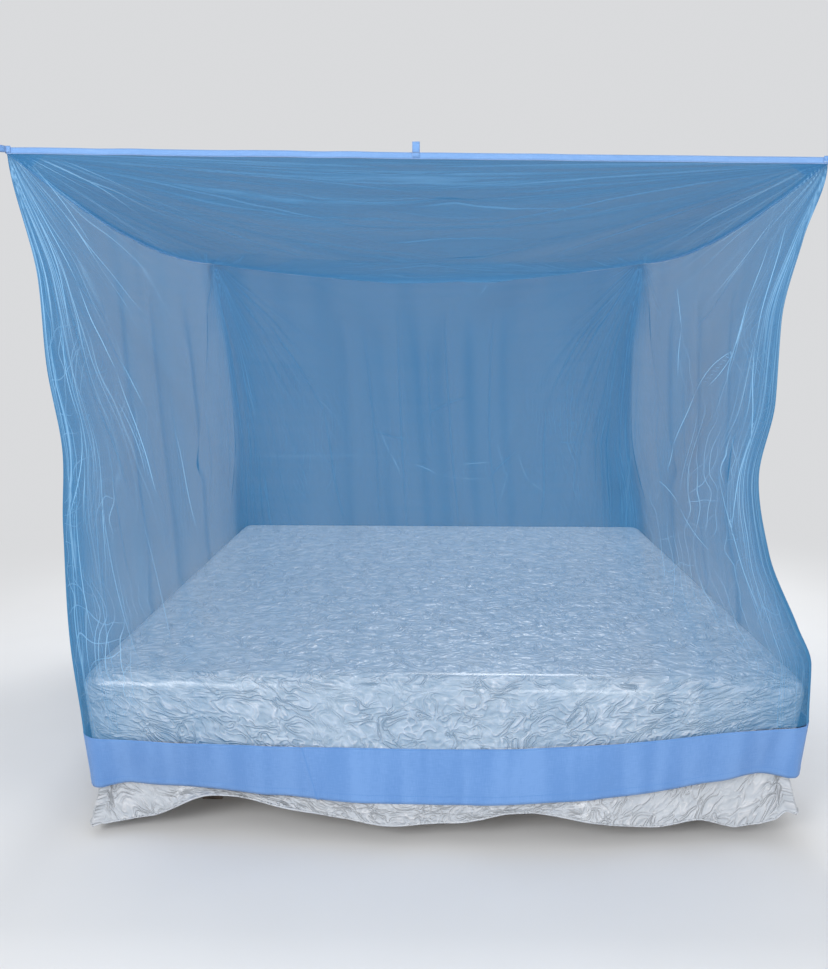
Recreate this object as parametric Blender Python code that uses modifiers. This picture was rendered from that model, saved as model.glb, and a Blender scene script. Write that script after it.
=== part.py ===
"""Rectangular mosquito net canopy hung by five loops over a double bed.

The net is four netting walls under a sagging netting roof, edged with woven tape at the top and with a
border of plain cloth at the foot, which lies round the bed over its spread. Metres, +Z up. The origin is
on the floor under the bed's middle leg, +X is the right side seen from the foot of the bed, and +Y runs
to its head.
"""

import math

import bmesh
import bpy
import numpy as np

# Bed: a 6 by 6.5 foot mattress on a deck over a plain frame
BED_WIDTH = 1.830
BED_LENGTH = 1.980
BED_TOP = 0.470  # top of the spread over the floor
MATTRESS_DEPTH = 0.150
MATTRESS_ROUND = 0.030
MATTRESS_ROUND_STEPS = 3
DECK_THICK = 0.018
DECK_INSET = 0.055  # from the mattress's side
RAIL_HEIGHT = 0.110
RAIL_THICK = 0.030
RAIL_INSET = 0.200  # the deck overhangs its frame
LEG_WIDE = 0.060
WOOD_ROUND = 0.0025  # its sharp edges taken off

# Bedspread: its sides stand off the mattress by their fullness
SPREAD_THICK = 0.003
SPREAD_FULLNESS = 0.045
SPREAD_END_FULLNESS = 0.030
SPREAD_SHIFT_X = -0.013  # it is drawn this far to the left
SPREAD_CORNER = 0.060
SPREAD_EDGE = 0.045  # radius over the mattress's top edge
SPREAD_EDGE_STEPS = 3
SPREAD_TIGHTEST = 0.020  # smallest corner radius of its inner rings
SPREAD_FLAT = 0.300  # from its side to the innermost ring
SPREAD_EASE = 0.010  # how far its sides stay behind the net's border, away from the foot's middle

# Net: cut 6.5 by 6.5 feet, 5.5 feet high with its border
NET_SPAN_X = 1.952
NET_SPAN_Y = 1.980
NET_SHIFT_X = -0.085  # it hangs this far to the left of the bed's middle
NET_FRONT_Y = -1.030
NET_THICK = 0.001
BORDER_DEPTH = 0.152
BORDER_THICK = 0.0015
TAPE_HEIGHT = 0.015
TAPE_THICK = 0.003
PATCH_THICK = 0.0015

# Hanging loops, of strip: upright in width at the corners, and along the tape at the front's middle
LOOP_THICK = 0.0015
LOOP_WIDTH = 0.015
LOOP_LEG = 0.012  # sewn length of a leg on the tape
LOOP_REACH = 0.026  # from the corner out to the loop's end
LOOP_HALF_EYE = 0.0055
LOOP_RAISE = 0.003  # drawn up over the tape's middle
MIDDLE_LOOP_WIDTH = 0.018
MIDDLE_LOOP_TOP = 0.031  # over the middle of the tape
MIDDLE_LOOP_X = -0.077
MIDDLE_LEG_FRONT = (-0.30, 0.20)  # its legs' heights on the tape, in tape heights from the middle
MIDDLE_LEG_BACK = (0.35, 0.12)

# Net ring's corner radius, under the tape and round the bed
NET_CORNER_TOP = 0.004
NET_CORNER_FOOT = 0.070

GAP = 0.0003  # between neighbouring pieces
SEAM_GAP = 0.0006  # between edges that meet at a slant

# Sharp corners of the net's ring at the seam between walls and border
FOOT_LEFT = -0.985
FOOT_RIGHT = 0.965
FOOT_FRONT = -(BED_LENGTH / 2 + SPREAD_END_FULLNESS) - GAP - BORDER_THICK / 2
FOOT_BACK = 1.040

# Heights of the roof's corners, and how far each edge sags between them
ROOF_HEIGHT = {"front_left": 1.789, "front_right": 1.755, "back_right": 1.700, "back_left": 1.705}
EDGE_SAG = {"front": 0.000, "right": 0.060, "back": 0.080, "left": 0.065}
ROOF_BELLY = 0.020  # how far its middle hangs under the surface between its edges
ROOF_SEAM_DROP = 0.003  # its seam, under the tape's middle

SIDES = ("front", "right", "back", "left")  # anticlockwise from above
ENDS = {
    "front": ("front_left", "front_right"),
    "right": ("front_right", "back_right"),
    "back": ("back_right", "back_left"),
    "left": ("back_left", "front_left"),
}
RUN = {"front": (1, 0), "right": (0, 1), "back": (-1, 0), "left": (0, -1)}

# How far the hanging corner edges are drawn in: fall from roof (0) to border (1), across the bed, along it
CORNER_PULL = {
    "front_left": ((0, 0, 0), (0.20, 0.032, 0.012), (0.34, 0.024, 0.012), (0.47, 0.033, 0.016),
                   (0.62, 0.009, 0.010), (0.84, -0.008, 0), (1, 0, 0)),
    "front_right": ((0, 0, 0), (0.12, 0.049, 0.010), (0.26, 0.091, 0.022), (0.40, 0.096, 0.030),
                    (0.54, 0.128, 0.040), (0.68, 0.100, 0.030), (0.82, 0.029, 0.006), (0.89, -0.004, 0),
                    (1, 0, 0)),
    "back_right": ((0, 0, 0), (0.30, 0.060, 0.030), (0.55, 0.075, 0.040), (0.82, 0.015, 0.008), (1, 0, 0)),
    "back_left": ((0, 0, 0), (0.30, 0.045, 0.030), (0.55, 0.055, 0.035), (0.82, 0.010, 0.005), (1, 0, 0)),
}
PULL_REACH = 0.26  # share of a wall over which its corner's pull dies away

# Height of the seam between wall and border: place along the side, height
SEAM_HEIGHT = {
    "front": ((0, 0.293), (0.22, 0.281), (0.50, 0.276), (0.74, 0.298), (1, 0.348)),
    "right": ((0, 0.348), (0.45, 0.322), (1, 0.315)),
    "back": ((0, 0.315), (0.50, 0.296), (1, 0.305)),
    "left": ((0, 0.305), (0.55, 0.286), (1, 0.293)),
}

# Lean of the border from upright, in degrees, outwards at its foot: place along the side, lean
BORDER_LEAN = {
    "front": ((0, -6), (0.06, -19), (0.14, -17), (0.28, -9), (0.40, 3), (0.60, 3), (0.74, -2), (0.87, -12),
              (0.94, -19), (1, -6)),
    "right": ((0, -6), (0.08, -2), (0.50, 0), (0.90, -2), (1, -5)),
    "back": ((0, -5), (0.20, -2), (0.80, -2), (1, -5)),
    "left": ((0, -5), (0.20, -3), (0.50, 0), (0.92, -2), (1, -6)),
}

# Height of the spread's hem: place along the side, height
HEM_HEIGHT = {
    "front": ((0, 0.035), (0.08, 0.052), (0.17, 0.122), (0.28, 0.100), (0.44, 0.062), (0.52, 0.068),
              (0.60, 0.100), (0.72, 0.078), (0.80, 0.056), (0.86, 0.076), (0.92, 0.046), (0.97, 0.070),
              (1, 0.100)),
    "right": ((0, 0.100), (0.12, 0.060), (0.30, 0.090), (0.50, 0.055), (0.68, 0.092), (0.85, 0.058),
              (1, 0.080)),
    "back": ((0, 0.080), (0.20, 0.110), (0.50, 0.090), (0.80, 0.112), (1, 0.080)),
    "left": ((0, 0.080), (0.16, 0.055), (0.34, 0.095), (0.52, 0.062), (0.70, 0.090), (0.88, 0.050),
             (1, 0.035)),
}
LEAN_REACH = 0.035  # the spread gives way to the border's deepest lean within this share of a side
HEM_FLARE = 0.030  # the hem stands out this far from under the border
HEM_WIDEST = 0.012  # but no further than this past the spread's sides
HEM_FLUTE = 0.014  # depth of its flutes, which only go inwards
HEM_FLUTES = 7  # on each side
HEM_TIGHT = (0.05, 0.35)  # at the foot the ease grows between these shares of the side from its middle

# Folds of the walls: both ends as (along, fall), half width, height outwards (minus is a trough)
WALL_FOLDS = {
    "front": (
        (0.02, 0.03, 0.29, 0.56, 0.050, 0.022), (0.01, 0.04, 0.14, 0.80, 0.055, 0.020),
        (0.01, 0.02, 0.46, 0.30, 0.055, -0.017), (0.08, 0.30, 0.20, 0.92, 0.060, -0.020),
        (0.99, 0.03, 0.80, 0.52, 0.050, 0.021), (0.99, 0.02, 0.62, 0.24, 0.055, -0.017),
        (0.88, 0.42, 0.76, 0.86, 0.060, 0.022), (0.93, 0.35, 0.90, 0.80, 0.050, -0.020),
        (0.42, 0.18, 0.45, 0.88, 0.075, -0.014), (0.58, 0.22, 0.55, 0.90, 0.075, 0.014),
    ),
    "right": (
        (0.02, 0.03, 0.30, 0.60, 0.060, 0.013), (0.02, 0.04, 0.12, 0.78, 0.050, -0.010),
        (0.14, 0.40, 0.34, 0.72, 0.055, -0.016), (0.98, 0.03, 0.70, 0.62, 0.060, 0.025),
        (0.98, 0.04, 0.88, 0.80, 0.055, -0.020), (0.50, 0.15, 0.46, 0.90, 0.080, -0.020),
        (0.62, 0.30, 0.60, 0.92, 0.070, 0.020),
    ),
    "back": (
        (0.03, 0.03, 0.24, 0.66, 0.060, 0.022), (0.97, 0.03, 0.74, 0.62, 0.060, 0.022),
        (0.30, 0.10, 0.31, 0.92, 0.070, -0.022), (0.44, 0.08, 0.42, 0.90, 0.065, 0.021),
        (0.56, 0.10, 0.58, 0.92, 0.070, -0.020), (0.70, 0.14, 0.68, 0.92, 0.065, 0.020),
        (0.12, 0.25, 0.10, 0.90, 0.060, -0.020), (0.88, 0.25, 0.90, 0.90, 0.060, -0.020),
    ),
    "left": (
        (0.98, 0.03, 0.72, 0.58, 0.060, 0.022), (0.98, 0.04, 0.90, 0.80, 0.055, -0.018),
        (0.80, 0.20, 0.66, 0.86, 0.065, -0.022), (0.02, 0.03, 0.28, 0.60, 0.060, 0.025),
        (0.02, 0.04, 0.12, 0.82, 0.055, -0.020), (0.46, 0.14, 0.48, 0.90, 0.080, 0.022),
        (0.34, 0.28, 0.36, 0.92, 0.070, -0.020),
    ),
}

# Wrinkles of the roof, drawn out from its corners: ends as shares across and back, half width, height
ROOF_FOLDS = (
    (0.02, 0.03, 0.55, 0.16, 0.050, 0.012), (0.98, 0.03, 0.45, 0.20, 0.050, 0.012),
    (0.05, 0.08, 0.60, 0.40, 0.060, -0.012), (0.95, 0.08, 0.48, 0.46, 0.060, -0.012),
    (0.04, 0.95, 0.46, 0.70, 0.060, 0.012), (0.96, 0.95, 0.56, 0.72, 0.060, 0.012),
    (0.20, 0.52, 0.80, 0.58, 0.070, 0.010), (0.25, 0.82, 0.78, 0.86, 0.060, -0.010),
)

# Folds pressed into the border: side, place along it, half width, height outwards
BORDER_FOLDS = (
    ("front", 0.25, 0.045, 0.006), ("front", 0.70, 0.060, 0.004), ("front", 0.90, 0.045, 0.005),
    ("right", 0.22, 0.060, 0.007), ("right", 0.60, 0.070, 0.008), ("back", 0.30, 0.070, 0.007),
    ("back", 0.72, 0.070, 0.006), ("left", 0.35, 0.070, 0.008), ("left", 0.78, 0.060, 0.007),
)

# Where the folds fade in and out, as shares of the fall from the roof, the rise from the border and the side
FOLD_FROM_ROOF = (0.01, 0.12)
FOLD_FROM_FOOT = (0, 0.10)
TROUGH_FROM_FOOT = (0.12, 0.30)  # troughs end higher up, clear of the spread
FOLD_FROM_END = (0.02, 0.10)
CORNER_SHARE = 0.03  # share of a side that its rounded corner takes
CORNER_FULL = 0.87  # share of the fall at which the corner has its full radius
ROOF_FOLD_RISE = 2  # how fast the roof's wrinkles grow inwards from its edges
COLUMN_CROWDING = 0.35  # how much closer together the columns stand at the corners

WALL_COLUMNS = 36
WALL_ROWS = 10
BORDER_ROWS = 3
ROOF_COLUMNS = 20
ROOF_ROWS = 18
PATCH_CELLS = 1  # a corner patch's legs, in cells of the roof
SPREAD_COLUMNS = 20
LOOP_STEPS = 14

# Sub-part finishes: base colour, roughness
FINISHES = {
    "netting": ((0.10, 0.26, 0.50), 0.75),
    "border_cloth": ((0.17, 0.37, 0.77), 0.80),
    "edge_tape": ((0.24, 0.42, 0.76), 0.70),
    "satin": ((0.72, 0.74, 0.78), 0.35),
    "ticking": ((0.80, 0.79, 0.76), 0.85),
    "wood": ((0.24, 0.13, 0.07), 0.50),
}


# ---------------------------------------------------------------- curves of the cloth

def smooth(table, at, column=1):
    """A table's column as a cubic through its rows that never overshoots them, read at the given places."""
    rows = np.array(table, float)
    x, y = rows[:, 0], rows[:, column]
    step = np.diff(x)
    rise = np.diff(y) / step
    slope = np.zeros(len(x))
    same = rise[:-1] * rise[1:] > 0
    slope[1:-1][same] = 2 * rise[:-1][same] * rise[1:][same] / (rise[:-1] + rise[1:])[same]
    k = np.clip(np.searchsorted(x, at, side="right") - 1, 0, len(x) - 2)
    t = (np.clip(at, x[0], x[-1]) - x[k]) / step[k]
    ease = t * t * (3 - 2 * t)
    start = slope[k] * step[k] * t * (1 - t) ** 2
    end = slope[k + 1] * step[k] * t * t * (t - 1)
    return y[k] * (1 - ease) + y[k + 1] * ease + start + end


def rise_between(low, high, at):
    """0 below low, 1 above high and a soft step between."""
    t = np.clip((at - low) / (high - low), 0, 1)
    return t * t * (3 - 2 * t)


def fold_relief(folds, across, down, wide, tall):
    """Sum of soft ridges and troughs, each along the line between its two ends on a wide by tall sheet."""
    relief = np.zeros(np.broadcast(across, down).shape)
    for across_0, down_0, across_1, down_1, half_width, height in folds:
        line = np.array(((across_1 - across_0) * wide, (down_1 - down_0) * tall))
        dx, dy = (across - across_0) * wide, (down - down_0) * tall
        share = np.clip((dx * line[0] + dy * line[1]) / (line @ line), 0, 1)
        off = (dx - share * line[0]) ** 2 + (dy - share * line[1]) ** 2
        relief = relief + height * np.exp(-off / half_width**2)
    return relief


def ring_side(side, along, first, last, radius, first_pull, last_pull, push):
    """One side of a rounded rectangle seen from above, for each row of the cloth.

    along runs from the middle of one corner's arc to the middle of the next. first and last are the sharp
    corners, pulls what is drawn in at them, and push is added outwards. Gives points and outward normals.
    """
    run = np.array(RUN[side], float)
    out = np.array((run[1], -run[0]))
    start, end = first + first_pull, last + last_pull
    length = ((end - start) @ run)[:, None]
    radius = radius[:, None]
    half_arc = radius * math.pi / 4
    whole = length - 2 * radius + 2 * half_arc
    far = along[None, :] * whole
    turn_0 = np.clip(math.pi / 4 - far / radius, 0, None)
    turn_1 = np.clip(math.pi / 4 - (whole - far) / radius, 0, None)
    straight = np.clip(far - half_arc, 0, length - 2 * radius)
    reach = radius * (1 - np.sin(turn_0)) + straight + radius * np.sin(turn_1)
    dip = radius * (2 - np.cos(turn_0) - np.cos(turn_1))
    share = reach / length
    blend = rise_between(CORNER_SHARE, 1 - CORNER_SHARE, share)
    near_0 = np.exp(-((np.clip(share - CORNER_SHARE, 0, None) / PULL_REACH) ** 2))
    near_1 = np.exp(-((np.clip(1 - CORNER_SHARE - share, 0, None) / PULL_REACH) ** 2))
    level = (first @ out)[:, None] * (1 - blend) + (last @ out)[:, None] * blend
    level = level + (first_pull @ out)[:, None] * near_0 + (last_pull @ out)[:, None] * near_1
    level = level - dip + push * rise_between(*FOLD_FROM_END, share) * rise_between(*FOLD_FROM_END, 1 - share)
    points = ((start @ run)[:, None] + reach)[..., None] * run + level[..., None] * out
    turned = np.sin(turn_1) - np.sin(turn_0)
    normals = turned[..., None] * run + np.sqrt(1 - turned**2)[..., None] * out
    return points, normals


def roof_corner(corner):
    """A roof corner seen from above."""
    side = 1 if corner.endswith("right") else -1
    back = corner.startswith("back")
    return np.array((NET_SHIFT_X + side * NET_SPAN_X / 2, NET_FRONT_Y + back * NET_SPAN_Y))


def foot_corner(corner):
    """The sharp corner of the net's ring round the bed."""
    return np.array(
        (
            FOOT_RIGHT if corner.endswith("right") else FOOT_LEFT,
            FOOT_BACK if corner.startswith("back") else FOOT_FRONT,
        )
    )


def corner_pull(corner, fall):
    """How far a hanging corner edge is drawn in towards the bed's middle, across and along."""
    inwards = -np.sign(foot_corner(corner))
    return np.stack([smooth(CORNER_PULL[corner], fall, n) * inwards[n - 1] for n in (1, 2)], axis=-1)


def edge_height(side, along):
    """Height of the roof's edge: straight between its corners, less its sag."""
    first, last = (ROOF_HEIGHT[corner] for corner in ENDS[side])
    return first + (last - first) * along - 4 * EDGE_SAG[side] * along * (1 - along)


def cloth_columns(count):
    """Places along a side, closer together at the corners."""
    even = np.linspace(0, 1, count + 1)
    return even - COLUMN_CROWDING * np.sin(2 * math.pi * even) / (2 * math.pi)


def wall_surface(side, along, fall):
    """The middle of a netting wall and its outward normals seen from above. Rows run from tape to border."""
    drop = fall[:, None]
    first, last = (
        roof_corner(corner) * (1 - drop) + foot_corner(corner) * drop for corner in ENDS[side]
    )
    radius = NET_CORNER_TOP + (NET_CORNER_FOOT - NET_CORNER_TOP) * rise_between(0, CORNER_FULL, fall)
    relief = fold_relief(WALL_FOLDS[side], along[None, :], drop, NET_SPAN_X, ROOF_HEIGHT["front_left"])
    relief = relief * rise_between(*FOLD_FROM_ROOF, drop) * rise_between(*FOLD_FROM_FOOT, 1 - drop)
    relief = np.where(relief < 0, relief * rise_between(*TROUGH_FROM_FOOT, 1 - drop), relief)
    pulls = [corner_pull(corner, fall) for corner in ENDS[side]]
    plan, normals = ring_side(side, along, first, last, radius, *pulls, relief)
    top = edge_height(side, along) - TAPE_HEIGHT / 2 - SEAM_GAP
    height = top[None, :] * (1 - drop) + smooth(SEAM_HEIGHT[side], along)[None, :] * drop
    return np.concatenate([plan, height[..., None]], axis=-1), normals


def border_surface(side, along):
    """The middle of the border: from the foot of the wall down its own depth, at its lean."""
    seam, normals = wall_surface(side, along, np.array((1.0,)))
    down = np.linspace(0, 1, BORDER_ROWS + 1)[:, None]
    lean = np.radians(smooth(BORDER_LEAN[side], along))
    ridge = np.zeros(len(along))
    for place, centre, half_width, height in BORDER_FOLDS:
        if place == side:
            ridge = ridge + height * np.exp(-(((along - centre) * NET_SPAN_X / half_width) ** 2))
    out = down * (BORDER_DEPTH * np.sin(lean) + ridge)
    plan = seam[..., :2] + normals * out[..., None]
    height = seam[..., 2] - SEAM_GAP - down * BORDER_DEPTH * np.cos(lean)
    return np.concatenate([plan, height[..., None]], axis=-1)


def part_ends(side, grid, thickness):
    """Draws a sheet's two end edges back from the corner seams, by what its thickness needs to clear."""
    grid = grid.copy()
    order = SIDES.index(side)
    for edge, inner, neighbour in ((0, 1, SIDES[order - 1]), (-1, -2, SIDES[(order + 1) % 4])):
        step = grid[:, inner, :2] - grid[:, edge, :2]
        step /= np.linalg.norm(step, axis=1)[:, None]
        seam = np.array(RUN[side]) + np.array(RUN[neighbour])
        along_seam = np.abs(step @ (seam / math.sqrt(2)))
        slant = np.sqrt(1 - along_seam**2) / along_seam
        grid[:, edge, :2] += step * (GAP / 2 + thickness / 2 * slant)[:, None]
    return grid


def roof_surface():
    """The roof's middle: the surface between its four sagging edges, with its belly and wrinkles."""
    across = np.linspace(0, 1, ROOF_COLUMNS + 1)[None, :]
    back = np.linspace(0, 1, ROOF_ROWS + 1)[:, None]
    front_edge, back_edge = edge_height("front", across), edge_height("back", 1 - across)
    left_edge, right_edge = edge_height("left", 1 - back), edge_height("right", back)
    corners = (
        ROOF_HEIGHT["front_left"] * (1 - across) * (1 - back)
        + ROOF_HEIGHT["front_right"] * across * (1 - back)
        + ROOF_HEIGHT["back_left"] * (1 - across) * back
        + ROOF_HEIGHT["back_right"] * across * back
    )
    height = front_edge * (1 - back) + back_edge * back + left_edge * (1 - across) + right_edge * across
    inside = 16 * across * (1 - across) * back * (1 - back)
    wrinkles = fold_relief(ROOF_FOLDS, across, back, NET_SPAN_X, NET_SPAN_Y)
    wrinkles = wrinkles * np.clip(ROOF_FOLD_RISE * inside, 0, 1)
    height = height - corners - ROOF_BELLY * inside + wrinkles - ROOF_SEAM_DROP
    margin = TAPE_THICK / 2 + GAP
    low, high = roof_corner("front_left") + margin, roof_corner("back_right") - margin
    x = low[0] + (high[0] - low[0]) * across + 0 * back
    y = low[1] + (high[1] - low[1]) * back + 0 * across
    return np.stack([x, y, height], axis=-1)


# ---------------------------------------------------------------- meshes and objects

def finish(name):
    """A Principled material of the named finish."""
    if name in bpy.data.materials:
        return bpy.data.materials[name]
    colour, roughness = FINISHES[name]
    material = bpy.data.materials.new(name)
    material.use_nodes = True
    shader = material.node_tree.nodes["Principled BSDF"]
    shader.inputs["Base Color"].default_value = (*colour, 1)
    shader.inputs["Roughness"].default_value = roughness
    shader.inputs["Metallic"].default_value = 0
    return material


def place(collection, obj, finish_name):
    """Puts an object in the canopy's collection and gives it its finish."""
    collection.objects.link(obj)
    obj.data.materials.append(finish(finish_name))
    return obj


def cloth_object(collection, name, points, faces, thickness, offset, finish_name):
    """An open cloth surface, given its thickness by Solidify."""
    mesh = bpy.data.meshes.new(name)
    mesh.from_pydata(points.reshape(-1, 3).tolist(), [], faces)
    mesh.update()
    mesh.shade_smooth()
    obj = place(collection, bpy.data.objects.new(name, mesh), finish_name)
    wall = obj.modifiers.new("thickness", "SOLIDIFY")
    wall.thickness = thickness
    wall.offset = offset
    return obj


def grid_faces(rows, columns, outwards=True):
    """Two triangles for each cell of a grid of points, with the faces turned outwards."""
    faces = []
    for j in range(rows):
        for i in range(columns):
            a = j * (columns + 1) + i
            b, c, d = a + 1, a + columns + 2, a + columns + 1
            faces += [(a, d, b), (b, d, c)] if outwards else [(a, b, d), (b, c, d)]
    return faces


def strip_outline(path, thickness):
    """The closed outline of a strip of this thickness along a path in the plane."""
    step = np.gradient(path, axis=0)
    side = np.stack([-step[:, 1], step[:, 0]], axis=1)
    side *= thickness / 2 / np.linalg.norm(side, axis=1)[:, None]
    return np.concatenate([path + side, (path - side)[::-1]])


def strip_object(collection, name, outline, width, finish_name):
    """A bent strip: its edge's flat outline as a filled curve, extruded to the strip's width."""
    curve = bpy.data.curves.new(name, "CURVE")
    curve.dimensions = "2D"
    curve.fill_mode = "BOTH"
    curve.extrude = width / 2
    spline = curve.splines.new("POLY")
    spline.points.add(len(outline) - 1)
    for point, (x, y) in zip(spline.points, outline, strict=True):
        point.co = (x, y, 0, 1)
    spline.use_cyclic_u = True
    return place(collection, bpy.data.objects.new(name, curve), finish_name)


def box_object(collection, name, size, centre, rounding, steps, finish_name):
    """A box primitive of this size, with its edges rounded."""
    mesh = bpy.data.meshes.new(name)
    shape = bmesh.new()
    bmesh.ops.create_cube(shape, size=1)
    bmesh.ops.scale(shape, vec=size, verts=shape.verts)
    shape.to_mesh(mesh)
    shape.free()
    obj = place(collection, bpy.data.objects.new(name, mesh), finish_name)
    obj.location = centre
    edge = obj.modifiers.new("edges", "BEVEL")
    edge.width = rounding
    edge.segments = steps
    return obj


# ---------------------------------------------------------------- sub-parts of the net

def make_walls(collection):
    """Four netting walls, each from the tape down to the border."""
    along = cloth_columns(WALL_COLUMNS)
    fall = np.linspace(0, 1, WALL_ROWS + 1)
    faces = grid_faces(WALL_ROWS, WALL_COLUMNS)
    for side in SIDES:
        points, _ = wall_surface(side, along, fall)
        points = part_ends(side, points, NET_THICK)
        cloth_object(collection, f"net_wall_{side}", points, faces, NET_THICK, 0, "netting")


def make_border(collection):
    """The plain border, a length of cloth for each side."""
    along = cloth_columns(WALL_COLUMNS)
    faces = grid_faces(BORDER_ROWS, WALL_COLUMNS)
    for side in SIDES:
        points = part_ends(side, border_surface(side, along), BORDER_THICK)
        cloth_object(collection, f"border_{side}", points, faces, BORDER_THICK, 0, "border_cloth")


def make_roof(collection):
    """The netting roof inside the tapes, and a triangle of border cloth on each of its corners."""
    points = roof_surface()
    columns, rows = ROOF_COLUMNS, ROOF_ROWS

    def index(i, j):
        return j * (columns + 1) + i

    def cell(i, j):
        """A cell's two triangles, split so that the cut lies across the nearest corner of the roof."""
        a, b, c, d = index(i, j), index(i + 1, j), index(i + 1, j + 1), index(i, j + 1)
        if (2 * i < columns) == (2 * j < rows):
            return [(a, b, d), (b, c, d)]
        return [(a, b, c), (a, c, d)]

    faces = [face for j in range(rows) for i in range(columns) for face in cell(i, j)]
    cloth_object(collection, "net_roof", points, faces, NET_THICK, 0, "netting")

    lift = NET_THICK / 2 + GAP + PATCH_THICK / 2
    flat = points.reshape(-1, 3)
    for corner in ROOF_HEIGHT:
        right, back = corner.endswith("right"), corner.startswith("back")
        chosen = []
        for j in range(PATCH_CELLS):
            for i in range(PATCH_CELLS - j):
                at = (columns - 1 - i if right else i, rows - 1 - j if back else j)
                triangles = cell(*at)
                if i + j == PATCH_CELLS - 1:
                    outer = index(at[0] + right, at[1] + back)
                    triangles = [face for face in triangles if outer in face]
                chosen += triangles
        used = sorted({vertex for face in chosen for vertex in face})
        place_of = {vertex: n for n, vertex in enumerate(used)}
        own = [tuple(place_of[vertex] for vertex in face) for face in chosen]
        raised = flat[used] + np.array((0, 0, lift))
        cloth_object(collection, f"patch_{corner}", raised, own, PATCH_THICK, 0, "border_cloth")


def make_tapes(collection):
    """The woven tape that binds the seam between roof and walls, a length for each edge."""
    along = cloth_columns(WALL_COLUMNS)
    faces = grid_faces(1, WALL_COLUMNS)
    for side in SIDES:
        first, last = (roof_corner(corner) for corner in ENDS[side])
        run = np.array(RUN[side])
        reach = TAPE_THICK / 2 if side in ("front", "back") else -TAPE_THICK / 2 - GAP
        plan = first + (last - first) * along[:, None]
        plan[0] -= run * reach
        plan[-1] += run * reach
        middle = edge_height(side, along)
        rows = [np.column_stack([plan, middle + half * TAPE_HEIGHT / 2]) for half in (1, -1)]
        cloth_object(collection, f"tape_{side}", np.array(rows), faces, TAPE_THICK, 0, "edge_tape")


def teardrop(length, half_width, root):
    """Path of an eye, as distance out and offset: up one leg, round the end and down the other."""
    turn = np.linspace(0, 2 * math.pi, LOOP_STEPS + 1)
    out = length * (1 - np.cos(turn)) / 2
    bulge = half_width * np.sin(turn) * np.sqrt(np.abs(np.sin(turn / 2)))
    legs = np.where(turn <= math.pi, root, -root) * (1 - out / length)
    return out, bulge + legs


def make_loops(collection):
    """A hanging loop standing out from each corner, a leg on each tape, and one over the front's middle."""
    leg_off = TAPE_THICK / 2 + GAP + LOOP_THICK / 2
    for corner in ROOF_HEIGHT:
        outwards = np.sign(foot_corner(corner))
        out, aside = teardrop(LOOP_REACH, LOOP_HALF_EYE, LOOP_THICK)
        eye = np.column_stack([out - aside, out + aside]) / math.sqrt(2) + leg_off
        leg = np.array(((-LOOP_LEG, leg_off), (-LOOP_LEG / 2, leg_off)))
        path = np.concatenate([leg, eye, leg[::-1, ::-1]])
        outline = strip_outline(path * outwards + roof_corner(corner), LOOP_THICK)
        loop = strip_object(collection, f"loop_{corner}", outline, LOOP_WIDTH, "edge_tape")
        loop.location.z = ROOF_HEIGHT[corner] + LOOP_RAISE
    out, aside = teardrop(MIDDLE_LOOP_TOP - TAPE_HEIGHT / 2, LOOP_HALF_EYE, leg_off)
    eye = np.column_stack([-aside, out + TAPE_HEIGHT / 2])
    front_leg = [(-leg_off, share * TAPE_HEIGHT) for share in MIDDLE_LEG_FRONT]
    back_leg = [(leg_off, share * TAPE_HEIGHT) for share in MIDDLE_LEG_BACK]
    outline = strip_outline(np.concatenate([front_leg, eye, back_leg]), LOOP_THICK)
    loop = strip_object(collection, "loop_front_middle", outline, MIDDLE_LOOP_WIDTH, "edge_tape")
    loop.rotation_euler = (math.pi / 2, 0, math.pi / 2)
    loop.location = (MIDDLE_LOOP_X, NET_FRONT_Y, float(edge_height("front", 0.5)))


# ---------------------------------------------------------------- sub-parts of the bed

def spread_ring(side, along, inset):
    """One side of the spread's outline seen from above, this far inside its widest."""
    half = np.array((BED_WIDTH / 2 + SPREAD_FULLNESS, BED_LENGTH / 2 + SPREAD_END_FULLNESS)) - inset
    shift = np.array((SPREAD_SHIFT_X, 0))
    first, last = (half[None, :] * np.sign(foot_corner(corner)) + shift for corner in ENDS[side])
    still = np.zeros((1, 2))
    radius = np.array((max(SPREAD_CORNER - inset, SPREAD_TIGHTEST),))
    plan, normals = ring_side(side, along, first, last, radius, still, still, np.zeros((1, len(along))))
    return plan[0], normals[0]


def spread_rings():
    """The spread's outer surface as rings: flat top, over the mattress's edge, down to the waving hem."""
    along = cloth_columns(SPREAD_COLUMNS)[:-1]
    rings = []
    for side in SIDES:
        rows = []
        for inset, fall in [(SPREAD_FLAT, 0)] + [
            (SPREAD_EDGE * (1 - math.sin(turn)), SPREAD_EDGE * (1 - math.cos(turn)))
            for turn in np.linspace(0, math.pi / 2, SPREAD_EDGE_STEPS + 1)
        ]:
            plan, _ = spread_ring(side, along, inset)
            rows.append(np.column_stack([plan, np.full(len(along), BED_TOP - fall)]))
        seam = smooth(SEAM_HEIGHT[side], along)
        near = [smooth(BORDER_LEAN[side], along + shift) for shift in (-LEAN_REACH, 0, LEAN_REACH)]
        lean = np.radians(np.min(near, axis=0))
        hem = smooth(HEM_HEIGHT[side], along)
        away = rise_between(*HEM_TIGHT, np.abs(along - 0.5)) if side == "front" else 1
        flute = HEM_FLUTE * (np.cos(2 * math.pi * HEM_FLUTES * along) - 1) / 2
        foot = seam - BORDER_DEPTH * np.cos(lean)
        tucked = BORDER_DEPTH * np.sin(lean) - SPREAD_EASE * away
        flared = np.minimum(tucked + HEM_FLARE, HEM_WIDEST) + flute
        plan, normals = spread_ring(side, along, 0)
        for out, height in (
            (-SPREAD_EASE * away + 0 * along, seam),
            (tucked, foot),
            ((tucked + flared) / 2, (foot + hem) / 2),
            (flared, hem),
        ):
            rows.append(np.column_stack([plan + normals * out[:, None], height]))
        rings.append(np.array(rows))
    return np.concatenate(rings, axis=1)


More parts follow.
